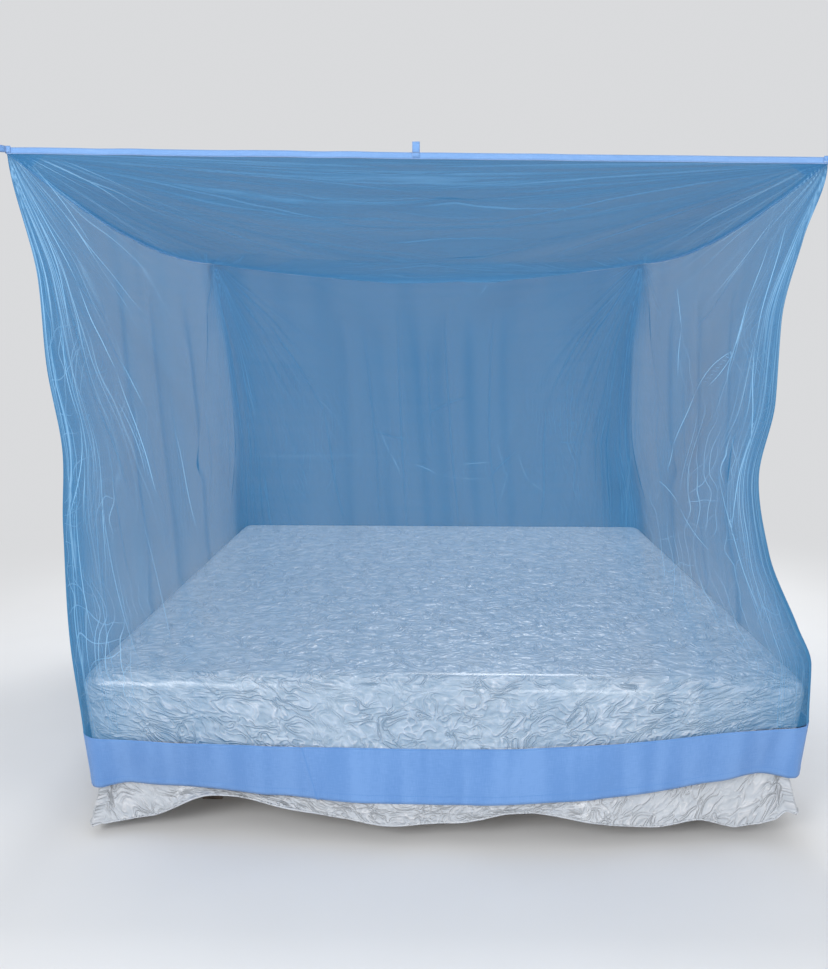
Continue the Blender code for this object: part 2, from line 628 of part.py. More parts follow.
def make_spread(collection):
    """The quilted cover: flat on the mattress, round its edges and down its sides to a waving hem."""
    rings = spread_rings()
    count = rings.shape[1]
    faces = [tuple(range(count))]
    for ring in range(len(rings) - 1):
        for n in range(count):
            a, b = ring * count + n, ring * count + (n + 1) % count
            c, d = b + count, a + count
            faces += [(a, d, b), (b, d, c)]
    cloth_object(collection, "bedspread", rings, faces, SPREAD_THICK, -1, "satin")


def make_bed(collection):
    """Mattress on a deck, four rails round its underside and five legs."""
    top = BED_TOP - SPREAD_THICK - GAP
    box_object(
        collection, "mattress", (BED_WIDTH, BED_LENGTH, MATTRESS_DEPTH), (0, 0, top - MATTRESS_DEPTH / 2),
        MATTRESS_ROUND, MATTRESS_ROUND_STEPS, "ticking",
    )
    deck_top = top - MATTRESS_DEPTH - GAP
    box_object(
        collection, "bed_deck", (BED_WIDTH - 2 * DECK_INSET, BED_LENGTH - 2 * DECK_INSET, DECK_THICK),
        (0, 0, deck_top - DECK_THICK / 2), WOOD_ROUND, 1, "wood",
    )
    rail_top = deck_top - DECK_THICK - GAP
    rail_middle = rail_top - RAIL_HEIGHT / 2
    rail_x = BED_WIDTH / 2 - RAIL_INSET - RAIL_THICK / 2
    rail_y = BED_LENGTH / 2 - RAIL_INSET - RAIL_THICK / 2
    for name, side in (("left", -1), ("right", 1)):
        size = (RAIL_THICK, BED_LENGTH - 2 * RAIL_INSET, RAIL_HEIGHT)
        box_object(collection, f"rail_{name}", size, (side * rail_x, 0, rail_middle), WOOD_ROUND, 1, "wood")
    for name, side in (("foot", -1), ("head", 1)):
        size = (2 * rail_x - RAIL_THICK - 2 * GAP, RAIL_THICK, RAIL_HEIGHT)
        box_object(collection, f"rail_{name}", size, (0, side * rail_y, rail_middle), WOOD_ROUND, 1, "wood")
    leg_top = rail_top - RAIL_HEIGHT - GAP
    leg_x = BED_WIDTH / 2 - RAIL_INSET - LEG_WIDE / 2
    leg_y = BED_LENGTH / 2 - RAIL_INSET - LEG_WIDE / 2
    for end, back in (("foot", -1), ("head", 1)):
        for name, side in (("left", -1), ("right", 1)):
            size = (LEG_WIDE, LEG_WIDE, leg_top)
            centre = (side * leg_x, back * leg_y, leg_top / 2)
            box_object(collection, f"leg_{end}_{name}", size, centre, WOOD_ROUND, 1, "wood")
    size = (LEG_WIDE, LEG_WIDE, rail_top)
    box_object(collection, "leg_middle", size, (0, 0, rail_top / 2), WOOD_ROUND, 1, "wood")


def main():
    for obj in list(bpy.data.objects):
        bpy.data.objects.remove(obj, do_unlink=True)
    collection = bpy.data.collections.new("mosquito_net_canopy_and_bed")
    bpy.context.scene.collection.children.link(collection)
    make_roof(collection)
    make_walls(collection)
    make_border(collection)
    make_tapes(collection)
    make_loops(collection)
    make_spread(collection)
    make_bed(collection)


main()
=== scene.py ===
"""Looks of a rectangular mosquito net hung by five loops over a double bed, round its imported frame.

Metres, +Z up, in the frame's own axes: +X is the right side seen from the foot of the bed and +Y runs to
its head. Every cloth is a function of two shares, along a side and down its fall, worked out as whole
arrays. What is uneven in it comes from seeds that are written here, so each run makes the same.
"""

import math

import bmesh
import bpy
import numpy as np
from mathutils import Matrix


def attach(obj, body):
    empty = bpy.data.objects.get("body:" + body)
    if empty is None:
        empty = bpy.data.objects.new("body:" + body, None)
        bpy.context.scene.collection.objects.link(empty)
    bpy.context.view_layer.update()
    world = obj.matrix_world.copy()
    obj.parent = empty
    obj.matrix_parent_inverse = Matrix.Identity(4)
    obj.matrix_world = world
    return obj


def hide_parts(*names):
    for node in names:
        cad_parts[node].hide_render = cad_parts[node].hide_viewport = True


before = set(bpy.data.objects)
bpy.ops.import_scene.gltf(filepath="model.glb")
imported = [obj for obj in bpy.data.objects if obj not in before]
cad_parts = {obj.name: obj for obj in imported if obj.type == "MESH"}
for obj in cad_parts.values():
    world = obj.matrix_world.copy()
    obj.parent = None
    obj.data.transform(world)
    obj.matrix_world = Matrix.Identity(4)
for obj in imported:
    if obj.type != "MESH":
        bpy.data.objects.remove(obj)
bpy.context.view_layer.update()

# ---------------------------------------------------------------- sizes of the net and its bed, in metres

BED_WIDTH = 1.830
BED_LENGTH = 1.980
BED_TOP = 0.470
MATTRESS_DEPTH = 0.150
MATTRESS_INSET = 0.004
MATTRESS_SQUARENESS = 0.10

SPREAD_CUT = (2.66, 2.81)
SPREAD_THICK = 0.003
SPREAD_FULLNESS = 0.045  # how far it stands out past the bed's long sides
SPREAD_END_FULLNESS = 0.030  # and past its foot and head
SPREAD_SHIFT_X = -0.013
SPREAD_CORNER = 0.060
SPREAD_TIGHTEST = 0.020  # the least radius of its corners
SPREAD_EDGE = 0.045  # radius of its bend over the bed's edge
SPREAD_FLAT = 0.300  # its top is scaled copies of the ring this far inside
SPREAD_EASE = 0.010  # how far the net presses it in at its seam
HEM_ROLL = 0.0026  # radius of its bound hem

NET_SPAN_X = 1.952
NET_SPAN_Y = 1.980
NET_SHIFT_X = -0.085
NET_FRONT_Y = -1.030
CUT = 1.980  # the net is cut 6.5 by 6.5 feet
FLAT_FALL = 1.50  # cut depth of the netting walls, from tape to border

BORDER_DEPTH = 0.152
BORDER_THICK = 0.0015
BORDER_SHEET = 0.0010  # thickness of its cloth in one layer
HEM_FOLD = 0.022  # the border's folded hem
HEM_STEP = 0.0008  # how far its second layer stands out
HEM_EDGE = (-0.0015, 0.0015)  # where the step begins and ends, from the fold's own edge
BORDER_UNEVEN, BORDER_WAVE = 0.0016, 0.0060  # heights of its fine unevenness and its soft waves
JOIN_PLACE, JOIN_SLANT = 0.308, 0.020  # the join in the front border, slanting as it falls
JOIN_WIDTH, JOIN_RISE = 0.0050, 0.0045

TAPE_HEIGHT = 0.015
TAPE_THICK = 0.003
TAPE_STITCH = 0.0330  # round the tape from the middle of its outer face, over its top
TAPE_SELVAGE = (0.0245, 0.0265, 0.0300, 0.0315)  # its brighter lower edge, in the same measure
TAPE_WAVE, TAPE_TILT = 0.0007, 0.0004

PATCH_ACROSS, PATCH_BACK = 0.05, 0.0556  # the corner patches' legs, as shares of the roof
PATCH_LIFT = 0.0025
PATCH_THICK = 0.0012
PATCH_UNEVEN = 0.0012

LOOP_THICK = 0.0015
LOOP_WIDTH = 0.015
LOOP_LEG = 0.012
LOOP_REACH = 0.026
LOOP_HALF_EYE = 0.0055
LOOP_RAISE = 0.003
MIDDLE_LOOP_WIDTH = 0.018
MIDDLE_LOOP_TOP = 0.031
MIDDLE_LOOP_X = -0.077
MIDDLE_LEG_FRONT = (-0.30, 0.20)  # its legs' heights on the tape, in tape heights from the middle
MIDDLE_LEG_BACK = (0.35, 0.12)

NET_CORNER_TOP = 0.004
NET_CORNER_FOOT = 0.070
GAP = 0.0003
SEAM_GAP = 0.0006

FOOT_LEFT = -0.985
FOOT_RIGHT = 0.965
FOOT_FRONT = -(BED_LENGTH / 2 + SPREAD_END_FULLNESS) - GAP - BORDER_THICK / 2
FOOT_BACK = 1.040

ROOF_HEIGHT = {"front_left": 1.789, "front_right": 1.755, "back_right": 1.700, "back_left": 1.705}
EDGE_SAG = {"front": 0.000, "right": 0.060, "back": 0.080, "left": 0.065}
ROOF_BELLY = 0.020  # how far its middle hangs under the surface between its edges
ROOF_SEAM_DROP = 0.003  # its seam, under the tape's middle

SIDES = ("front", "right", "back", "left")
ENDS = {
    "front": ("front_left", "front_right"),
    "right": ("front_right", "back_right"),
    "back": ("back_right", "back_left"),
    "left": ("back_left", "front_left"),
}
RUN = {"front": (1, 0), "right": (0, 1), "back": (-1, 0), "left": (0, -1)}
SIDEWAYS, UPWARDS = np.array((1.0, 0.0, 0.0)), np.array((0.0, 0.0, 1.0))

# How far the hanging corner edges are drawn in: fall from roof (0) to border (1), across the bed, along it
CORNER_PULL = {
    "front_left": ((0, 0, 0), (0.20, 0.032, 0.012), (0.34, 0.024, 0.012), (0.47, 0.033, 0.016),
                   (0.62, 0.009, 0.010), (0.84, -0.008, 0), (1, 0, 0)),
    "front_right": ((0, 0, 0), (0.12, 0.049, 0.010), (0.26, 0.091, 0.022), (0.40, 0.096, 0.030),
                    (0.54, 0.128, 0.040), (0.68, 0.100, 0.030), (0.82, 0.029, 0.006), (0.89, -0.004, 0),
                    (1, 0, 0)),
    "back_right": ((0, 0, 0), (0.30, 0.060, 0.030), (0.55, 0.075, 0.040), (0.82, 0.015, 0.008), (1, 0, 0)),
    "back_left": ((0, 0, 0), (0.30, 0.045, 0.030), (0.55, 0.055, 0.035), (0.82, 0.010, 0.005), (1, 0, 0)),
}
PULL_REACH = 0.26  # share of a side over which its corner's pull dies away

# Height of the seam between wall and border: place along the side, height
SEAM_HEIGHT = {
    "front": ((0, 0.293), (0.22, 0.281), (0.50, 0.276), (0.74, 0.298), (1, 0.348)),
    "right": ((0, 0.348), (0.45, 0.322), (1, 0.315)),
    "back": ((0, 0.315), (0.50, 0.296), (1, 0.305)),
    "left": ((0, 0.305), (0.55, 0.286), (1, 0.293)),
}

# Lean of the border from upright, in degrees, outwards at its foot: place along the side, lean
BORDER_LEAN = {
    "front": ((0, -6), (0.06, -19), (0.14, -17), (0.28, -9), (0.40, 3), (0.60, 3), (0.74, -2), (0.87, -12),
              (0.94, -19), (1, -6)),
    "right": ((0, -6), (0.08, -2), (0.50, 0), (0.90, -2), (1, -5)),
    "back": ((0, -5), (0.20, -2), (0.80, -2), (1, -5)),
    "left": ((0, -5), (0.20, -3), (0.50, 0), (0.92, -2), (1, -6)),
}

# Height of the spread's hem: place along the side, height
HEM_HEIGHT = {
    "front": ((0, 0.035), (0.08, 0.052), (0.17, 0.122), (0.28, 0.100), (0.44, 0.062), (0.52, 0.068),
              (0.60, 0.100), (0.72, 0.078), (0.80, 0.056), (0.86, 0.076), (0.92, 0.046), (0.97, 0.070),
              (1, 0.100)),
    "right": ((0, 0.100), (0.12, 0.060), (0.30, 0.090), (0.50, 0.055), (0.68, 0.092), (0.85, 0.058),
              (1, 0.080)),
    "back": ((0, 0.080), (0.20, 0.110), (0.50, 0.090), (0.80, 0.112), (1, 0.080)),
    "left": ((0, 0.080), (0.16, 0.055), (0.34, 0.095), (0.52, 0.062), (0.70, 0.090), (0.88, 0.050),
             (1, 0.035)),
}
LEAN_REACH = 0.035  # the spread keeps clear of the border's lean as far along as this
HEM_FLARE = 0.030  # how far the hem swings out again under the border
HEM_WIDEST = 0.012  # but no further past the spread's own ring than this
HEM_FLUTE = 0.014  # depth of the hem's flutes
HEM_FLUTES = 7  # on each side
HEM_TIGHT = (0.05, 0.35)  # at the foot the ease grows between these shares of the side from its middle

# Broad folds of the walls: both ends as (along, fall), half width, height outwards (minus is a trough)
WALL_FOLDS = {
    "front": (
        (0.02, 0.03, 0.29, 0.56, 0.050, 0.022), (0.01, 0.04, 0.14, 0.80, 0.055, 0.020),
        (0.01, 0.02, 0.46, 0.30, 0.055, -0.017), (0.08, 0.30, 0.20, 0.92, 0.060, -0.020),
        (0.99, 0.03, 0.80, 0.52, 0.050, 0.021), (0.99, 0.02, 0.62, 0.24, 0.055, -0.017),
        (0.88, 0.42, 0.76, 0.86, 0.060, 0.022), (0.93, 0.35, 0.90, 0.80, 0.050, -0.020),
        (0.42, 0.18, 0.45, 0.88, 0.075, -0.014), (0.58, 0.22, 0.55, 0.90, 0.075, 0.014),
    ),
    "right": (
        (0.02, 0.03, 0.30, 0.60, 0.060, 0.009), (0.02, 0.04, 0.12, 0.78, 0.060, -0.006),
        (0.14, 0.40, 0.34, 0.72, 0.080, -0.007), (0.98, 0.03, 0.70, 0.62, 0.060, 0.025),
        (0.98, 0.04, 0.88, 0.80, 0.055, -0.020), (0.50, 0.15, 0.46, 0.90, 0.080, -0.020),
        (0.62, 0.30, 0.60, 0.92, 0.070, 0.020),
    ),
    "back": (
        (0.03, 0.03, 0.24, 0.66, 0.060, 0.022), (0.97, 0.03, 0.74, 0.62, 0.060, 0.022),
        (0.30, 0.10, 0.31, 0.92, 0.070, -0.022), (0.44, 0.08, 0.42, 0.90, 0.065, 0.021),
        (0.56, 0.10, 0.58, 0.92, 0.070, -0.020), (0.70, 0.14, 0.68, 0.92, 0.065, 0.020),
        (0.12, 0.25, 0.10, 0.90, 0.060, -0.020), (0.88, 0.25, 0.90, 0.90, 0.060, -0.020),
    ),
    "left": (
        (0.98, 0.03, 0.72, 0.58, 0.060, 0.022), (0.98, 0.04, 0.90, 0.80, 0.055, -0.018),
        (0.80, 0.20, 0.66, 0.86, 0.065, -0.022), (0.02, 0.03, 0.28, 0.60, 0.060, 0.025),
        (0.02, 0.04, 0.12, 0.82, 0.055, -0.020), (0.46, 0.14, 0.48, 0.90, 0.080, 0.022),
        (0.34, 0.28, 0.36, 0.92, 0.070, -0.020),
    ),
}

# Broad wrinkles of the roof: ends as shares across and back, half width, height
ROOF_FOLDS = (
    (0.02, 0.03, 0.55, 0.16, 0.050, 0.012), (0.98, 0.03, 0.45, 0.20, 0.050, 0.012),
    (0.05, 0.08, 0.60, 0.40, 0.060, -0.012), (0.95, 0.08, 0.48, 0.46, 0.060, -0.012),
    (0.04, 0.95, 0.46, 0.70, 0.060, 0.012), (0.96, 0.95, 0.56, 0.72, 0.060, 0.012),
    (0.20, 0.52, 0.80, 0.58, 0.070, 0.010), (0.25, 0.82, 0.78, 0.86, 0.060, -0.010),
)

# Folds pressed into the border: side, place along it, half width, height outwards
BORDER_FOLDS = (
    ("front", 0.25, 0.045, 0.006), ("front", 0.70, 0.060, 0.004), ("front", 0.90, 0.045, 0.005),
    ("right", 0.22, 0.060, 0.007), ("right", 0.60, 0.070, 0.008), ("back", 0.30, 0.070, 0.007),
    ("back", 0.72, 0.070, 0.006), ("left", 0.35, 0.070, 0.008), ("left", 0.78, 0.060, 0.007),
)

# Where the folds fade in and out, as shares of the fall from the roof, of the rise from the border and of the
# side from its end
FOLD_FROM_ROOF = (0.01, 0.12)
FOLD_FROM_FOOT = (0, 0.10)
TROUGH_FROM_FOOT = (0.12, 0.30)  # troughs end higher up, clear of the spread
FOLD_FROM_END = (0.02, 0.10)
FINE_FROM_EDGE = (0, 0.05)  # fine creases, from the roof and from the border
CORNER_SHARE = 0.03  # share of a side that its rounded corner takes
CORNER_FULL = 0.87  # share of the fall at which the corner has its full radius
ROOF_FOLD_RISE = 2  # how fast the roof's wrinkles grow inwards from its edges

# Sharp creases of the walls: both ends as (along, fall), bow to the left of their run, strength
WALL_CREASES = {
    "front": (
        (0.016, 0.040, 0.056, 0.205, -0.004, 0.9), (0.056, 0.205, 0.096, 0.345, -0.003, 1.0),
        (0.096, 0.345, 0.138, 0.560, -0.006, 1.0), (0.028, 0.012, 0.086, 0.142, 0.006, 0.7),
        (0.105, 0.330, 0.127, 0.400, 0.002, 0.8), (0.090, 0.390, 0.120, 0.520, 0.004, 0.7),
        (0.168, 0.440, 0.200, 0.622, -0.005, 0.7), (0.014, 0.060, 0.038, 0.300, 0.010, 0.8),
        (0.030, 0.270, 0.034, 0.430, -0.008, 0.8), (0.034, 0.430, 0.012, 0.600, 0.010, 0.9),
        (0.048, 0.420, 0.062, 0.720, 0.012, 0.6), (0.062, 0.560, 0.100, 0.860, -0.010, 0.6),
        (0.024, 0.560, 0.040, 0.820, -0.010, 0.7), (0.120, 0.600, 0.150, 0.840, 0.008, 0.5),
        (0.957, 0.130, 0.950, 0.222, 0.003, 0.8), (0.950, 0.222, 0.938, 0.308, 0.004, 1.0),
        (0.938, 0.308, 0.888, 0.379, -0.012, 1.0), (0.888, 0.379, 0.864, 0.470, -0.008, 0.9),
        (0.864, 0.470, 0.863, 0.515, 0.003, 0.7), (0.852, 0.197, 0.866, 0.270, 0.003, 0.6),
        (0.866, 0.270, 0.861, 0.352, -0.003, 0.6), (0.938, 0.308, 0.905, 0.372, 0.010, 0.8),
        (0.851, 0.530, 0.884, 0.580, 0.006, 0.7), (0.884, 0.580, 0.920, 0.672, -0.006, 0.7),
        (0.890, 0.405, 0.886, 0.560, 0.006, 0.7), (0.905, 0.390, 0.902, 0.600, -0.010, 0.8),
        (0.972, 0.090, 0.966, 0.300, 0.008, 0.9), (0.966, 0.300, 0.978, 0.480, -0.010, 0.9),
        (0.975, 0.440, 0.950, 0.640, 0.012, 0.9), (0.940, 0.520, 0.955, 0.800, 0.014, 0.7),
        (0.504, 0.491, 0.540, 0.508, 0.003, 0.48), (0.540, 0.508, 0.616, 0.517, -0.003, 0.36),
        (0.565, 0.492, 0.617, 0.489, 0.002, 0.42), (0.650, 0.472, 0.672, 0.526, -0.004, 0.36),
        (0.672, 0.526, 0.696, 0.546, 0.002, 0.36), (0.268, 0.484, 0.464, 0.479, 0.002, 0.30),
        (0.456, 0.432, 0.471, 0.474, -0.002, 0.42), (0.471, 0.474, 0.488, 0.510, 0.002, 0.48),
        (0.370, 0.381, 0.396, 0.416, 0.002, 0.30), (0.396, 0.416, 0.408, 0.444, -0.001, 0.24),
        (0.276, 0.360, 0.284, 0.420, 0.002, 0.30), (0.606, 0.186, 0.592, 0.215, 0.002, 0.36),
        (0.640, 0.500, 0.628, 0.560, 0.003, 0.30), (0.616, 0.440, 0.640, 0.520, -0.003, 0.30),
    ),
    "right": (
        (0.03, 0.05, 0.22, 0.40, 0.020, 0.8), (0.02, 0.06, 0.10, 0.50, -0.016, 0.8),
        (0.10, 0.50, 0.16, 0.86, 0.016, 0.7), (0.22, 0.40, 0.40, 0.70, -0.020, 0.6),
        (0.97, 0.05, 0.80, 0.42, -0.016, 0.7), (0.80, 0.42, 0.72, 0.84, 0.014, 0.6),
        (0.30, 0.10, 0.52, 0.22, 0.020, 0.5), (0.50, 0.50, 0.54, 0.88, 0.020, 0.5),
        (0.34, 0.55, 0.36, 0.90, -0.012, 0.6), (0.64, 0.30, 0.62, 0.66, 0.012, 0.5),
        (0.06, 0.30, 0.24, 0.62, 0.014, 0.7), (0.90, 0.30, 0.88, 0.80, 0.012, 0.5),
    ),
    "back": (
        (0.06, 0.08, 0.20, 0.44, 0.016, 0.7), (0.20, 0.44, 0.24, 0.86, -0.012, 0.6),
        (0.94, 0.08, 0.78, 0.46, -0.016, 0.7), (0.78, 0.46, 0.74, 0.86, 0.012, 0.6),
        (0.34, 0.12, 0.35, 0.90, 0.008, 0.5), (0.46, 0.10, 0.45, 0.92, -0.008, 0.6),
        (0.57, 0.10, 0.58, 0.90, 0.008, 0.5), (0.66, 0.14, 0.65, 0.90, -0.008, 0.4),
        (0.40, 0.40, 0.52, 0.47, 0.010, 0.5), (0.56, 0.55, 0.66, 0.52, -0.010, 0.5),
        (0.28, 0.60, 0.36, 0.70, 0.010, 0.5), (0.50, 0.20, 0.50, 0.60, 0.004, 0.4),
    ),
    "left": (
        (0.97, 0.05, 0.80, 0.40, -0.020, 0.9), (0.80, 0.40, 0.74, 0.80, 0.016, 0.8),
        (0.98, 0.06, 0.90, 0.46, 0.014, 0.9), (0.90, 0.46, 0.84, 0.88, -0.014, 0.8),
        (0.98, 0.08, 0.95, 0.60, 0.012, 0.9), (0.95, 0.60, 0.93, 0.92, -0.010, 0.7),
        (0.90, 0.12, 0.60, 0.36, 0.020, 0.6), (0.60, 0.36, 0.50, 0.74, 0.030, 0.5),
        (0.03, 0.05, 0.20, 0.42, 0.016, 0.7), (0.20, 0.42, 0.28, 0.84, -0.014, 0.6),
        (0.42, 0.30, 0.40, 0.80, 0.016, 0.5), (0.10, 0.30, 0.12, 0.82, 0.012, 0.5),
        (0.68, 0.30, 0.62, 0.84, 0.020, 0.6), (0.86, 0.24, 0.70, 0.62, 0.014, 0.7),
    ),
}

# Sharp creases of the roof, mostly drawn from side to side: both ends as (across, back), bow, strength
ROOF_CREASES = (
    (0.01, 0.004, 0.47, 0.030, 0.004, 1.0), (0.99, 0.004, 0.52, 0.026, -0.004, 0.9),
    (0.02, 0.012, 0.50, 0.105, 0.010, 0.9), (0.98, 0.012, 0.55, 0.095, -0.010, 0.8),
    (0.02, 0.024, 0.40, 0.240, 0.012, 0.8), (0.98, 0.024, 0.62, 0.220, -0.012, 0.7),
    (0.02, 0.050, 0.30, 0.480, 0.014, 0.6), (0.98, 0.050, 0.72, 0.460, -0.014, 0.6),
    (0.50, 0.180, 0.76, 0.165, 0.006, 0.7), (0.42, 0.320, 0.66, 0.300, -0.006, 0.6),
    (0.04, 0.960, 0.34, 0.800, -0.016, 0.5), (0.96, 0.960, 0.68, 0.790, 0.016, 0.5),
)

# Where the netting is crumpled into a web of small creases: centre (along, fall), reach along and down,
# how much
CRUMPLES = {
    "front": (
        (0.91, 0.54, 0.08, 0.28, 1.0), (0.05, 0.62, 0.08, 0.34, 0.9), (0.64, 0.50, 0.05, 0.09, 0.4),
        (0.97, 0.22, 0.04, 0.20, 0.4), (0.02, 0.30, 0.03, 0.20, 0.3), (0.42, 0.45, 0.12, 0.10, 0.2),
        (0.06, 0.84, 0.05, 0.10, 0.5), (0.95, 0.80, 0.03, 0.12, 0.4),
    ),
    "right": ((0.12, 0.50, 0.18, 0.36, 1.0), (0.80, 0.60, 0.16, 0.30, 0.6), (0.45, 0.70, 0.20, 0.25, 0.5)),
    "back": ((0.14, 0.60, 0.12, 0.30, 0.7), (0.86, 0.60, 0.12, 0.30, 0.7), (0.50, 0.60, 0.24, 0.20, 0.3)),
    "left": ((0.90, 0.50, 0.16, 0.40, 1.0), (0.16, 0.60, 0.16, 0.30, 0.6), (0.50, 0.66, 0.20, 0.26, 0.5)),
}

# Soft upright streaks, where the netting hangs closer: place along the wall, half width, how much
SOFT_STREAKS = {
    "front": ((0.12, 0.010, 0.3), (0.17, 0.012, 0.25), (0.81, 0.012, 0.3), (0.86, 0.014, 0.35)),
    "right": ((0.30, 0.014, 0.4), (0.48, 0.012, 0.3), (0.70, 0.016, 0.4)),
    "back": ((0.31, 0.012, 0.18), (0.40, 0.014, 0.22), (0.47, 0.020, 0.25), (0.53, 0.012, 0.20),
             (0.62, 0.015, 0.18), (0.72, 0.014, 0.18)),
    "left": ((0.28, 0.016, 0.4), (0.46, 0.012, 0.3), (0.66, 0.014, 0.4)),
}

# The broad tone: along the hanging edges, low down beside them, uneven all over, and in the streaks
EDGE_TONE, EDGE_TONE_REACH = {"front": 0.80, "right": 0.80, "back": 0.30, "left": 0.80}, 0.07
FOOT_TONE, FOOT_TONE_REACH, FOOT_TONE_FROM = 0.25, 0.16, (0.45, 0.95)
UNEVEN_TONE = 0.16
STREAK_FROM, STREAK_WANDER = (0.06, 0.25), 0.006

# Sheet grids: rows down a wall or back over the roof, columns along
WALL_ROWS = 170
WALL_COLUMNS = {"front": 470, "right": 270, "back": 270, "left": 270}
ROOF_ROWS, ROOF_COLUMNS = 280, 250
ROOF_CROWDING = 1.25  # power that crowds the roof's rows towards its front edge
BORDER_ROWS, BORDER_COLUMNS = 18, 260
TAPE_SECTIONS = 300
PATCH_CELLS = 24
SPREAD_CELLS = 270  # across the whole spread, from hem to hem
EYE_STEPS = 48
LATTICE = 128  # cells after which an unevenness comes round again

CREASE_HEIGHT = 0.0018  # a sharp crease's ridge
CREASE_WIDTH = 0.010  # half width of the ridge under a sharp crease
CREASE_TIP = 0.10  # share of its strength that a crease keeps at its two ends
CREASE_FULLNESS = 0.7  # power of the swell between them, where 1 is a parabola
CREASE_END = 0.012  # a crease dies away this far past its ends
CREASE_REACH = 0.024  # and this far to either side
RIPPLE_HEIGHT = 0.0030  # fine unevenness of the netting
RIPPLE_REST = 0.4  # what is left of it where no line is drawn out
RIPPLE_CELL = 50  # and it is lower where the drawn-out lines are closer together than this, in millimetres
CRUMPLE_HEIGHT = 0.0025  # and more of it where the netting is crumpled
ROOF_RIPPLE, ROOF_RIPPLE_REST = 0.0060, 0.3  # the roof's, which is slacker
ROOF_SHARPNESS = 0.9  # how deep its ripples are cut along narrow valleys
WALL_LINE, ROOF_LINE = (1.7, 0.4), (7.5, 1.7)  # width of drawn-out lines, core of a sharp one, in millimetres

# The fan of fine creases out of each top corner of a wall: cells for each step of its logarithm, the angle
# under which they come no closer, the cells between the two corners' fans, and a cell's width in millimetres
# for each metre from the corner and each radian
FAN_CELLS, FAN_CLOSEST, FAN_APART, FAN_CELL_WIDTH = 7.0, 0.07, 40, 143
FAN_START = 0.02  # how far over the wall's top the fan's centre is
FAN_LEAN = (0.8, 1.1)  # the second set's cells, for each cell of the fan and each metre from the corner

# The roof's fan, counted from its front or back edge, and the least width of its cells
ROOF_FAN_CELLS, ROOF_FAN_CLOSEST, ROOF_FAN_APART, ROOF_CELL_WIDTH, ROOF_CELL_LEAST = 6.0, 0.05, 60, 167, 20
ROOF_GATHER = 0.03  # how close its lines come together in a corner
ROOF_FAN_LEAN = (0.7, 0.8)
ROOF_LINE_STRENGTH, ROOF_WEB_STRENGTH = 0.85, 0.35

# Cells of the web for each metre, upright ones along and slanting ones along and down, and cells of its
# relief for a whole wall: along, along with the fall, and down
WEB_UPRIGHT, WEB_SLANT = 42, (9, 13)
CRUMPLE_CELLS = (46, 9, 16)

# Layers of unevenness: how much, cells along the first number, cells along the second, seed
FAN_WANDER = ((0.55, 0.6, 3.2, 0), (0.16, 1.7, 11, 1))
FAN_LEAN_WANDER = ((0.70, 0.5, 2.6, 2), (0.20, 1.5, 9, 3))
FAN_BREAKS = ((0.95, 1.9, 3.4, 4),)
ROOF_FAN_WANDER = ((0.50, 5, 0.7, 501), (0.12, 16, 2, 502))
ROOF_FAN_LEAN_WANDER = ((0.60, 5, 0.6, 503), (0.14, 15, 1.6, 504))
ROOF_FAN_BREAKS = ((0.90, 4, 1.3, 505),)
WEB_UPRIGHT_WANDER = ((1.10, 9, 7, 0), (0.50, 22, 19, 1))
WEB_SLANT_WANDER = ((1.20, 8, 6, 2), (0.50, 24, 16, 3))
WEB_BREAKS = ((0.90, 14, 8, 4),)
WALL_RIPPLES = ((1.00, 1.2, 5, 0), (0.50, 2.6, 9, 10))
ROOF_RIPPLES = ((1.00, 14, 1.2, 61), (0.50, 30, 2.6, 62))
ROOF_TONES = ((0.25, 4, 0.9, 63),)
PUCKERS = ((1.00, 26, 30, 101), (0.70, 52, 58, 102))

# The spread's levels from its middle (0) to its hem (1): where its flat ring, its edge's bend and its side
# begin
SPREAD_RING, SPREAD_BEND, SPREAD_SIDE = 0.42, 0.60, 0.68
HANG_SHARES = (0, 0.38, 0.74, 0.87, 1)  # of the side: bend, seam of the net, foot of its border, middle, hem
PUCKER_DEPTH, PUCKER_FROM = 0.0026, (0.02, 0.10)  # the quilting's puckers go inwards from these levels on
PUFF_RISE, PUFF_UNTIL = 0.0050, (0.54, 0.64)  # and stand up on its top until these
SKIRT_FROM = (0.60, 0.80)  # shares of the side over which the duller skirt, painted greyer as shade, begins


# ---------------------------------------------------------------- curves of the cloth

def smooth(table, at, column=1):
    """A table's column as a cubic through its rows, read at given places.

    Its slope at a row is the harmonic mean of the slopes beside it, or 0 at a turn, so it never overshoots.
    """
    rows = np.array(table, float)
    x, y = rows[:, 0], rows[:, column]
    step = np.diff(x)
    rise = np.diff(y) / step
    slope = np.zeros(len(x))
    same = rise[:-1] * rise[1:] > 0
    slope[1:-1][same] = 2 * rise[:-1][same] * rise[1:][same] / (rise[:-1] + rise[1:])[same]
    k = np.clip(np.searchsorted(x, at, side="right") - 1, 0, len(x) - 2)
    t = (np.clip(at, x[0], x[-1]) - x[k]) / step[k]
    ease = t * t * (3 - 2 * t)
    start = slope[k] * step[k] * t * (1 - t) ** 2
    end = slope[k + 1] * step[k] * t * t * (t - 1)
    return y[k] * (1 - ease) + y[k + 1] * ease + start + end


def rise_between(low, high, at):
    """0 below low, 1 above high and a soft step between: 3 t^2 - 2 t^3."""
    t = np.clip((at - low) / (high - low), 0, 1)
    return t * t * (3 - 2 * t)


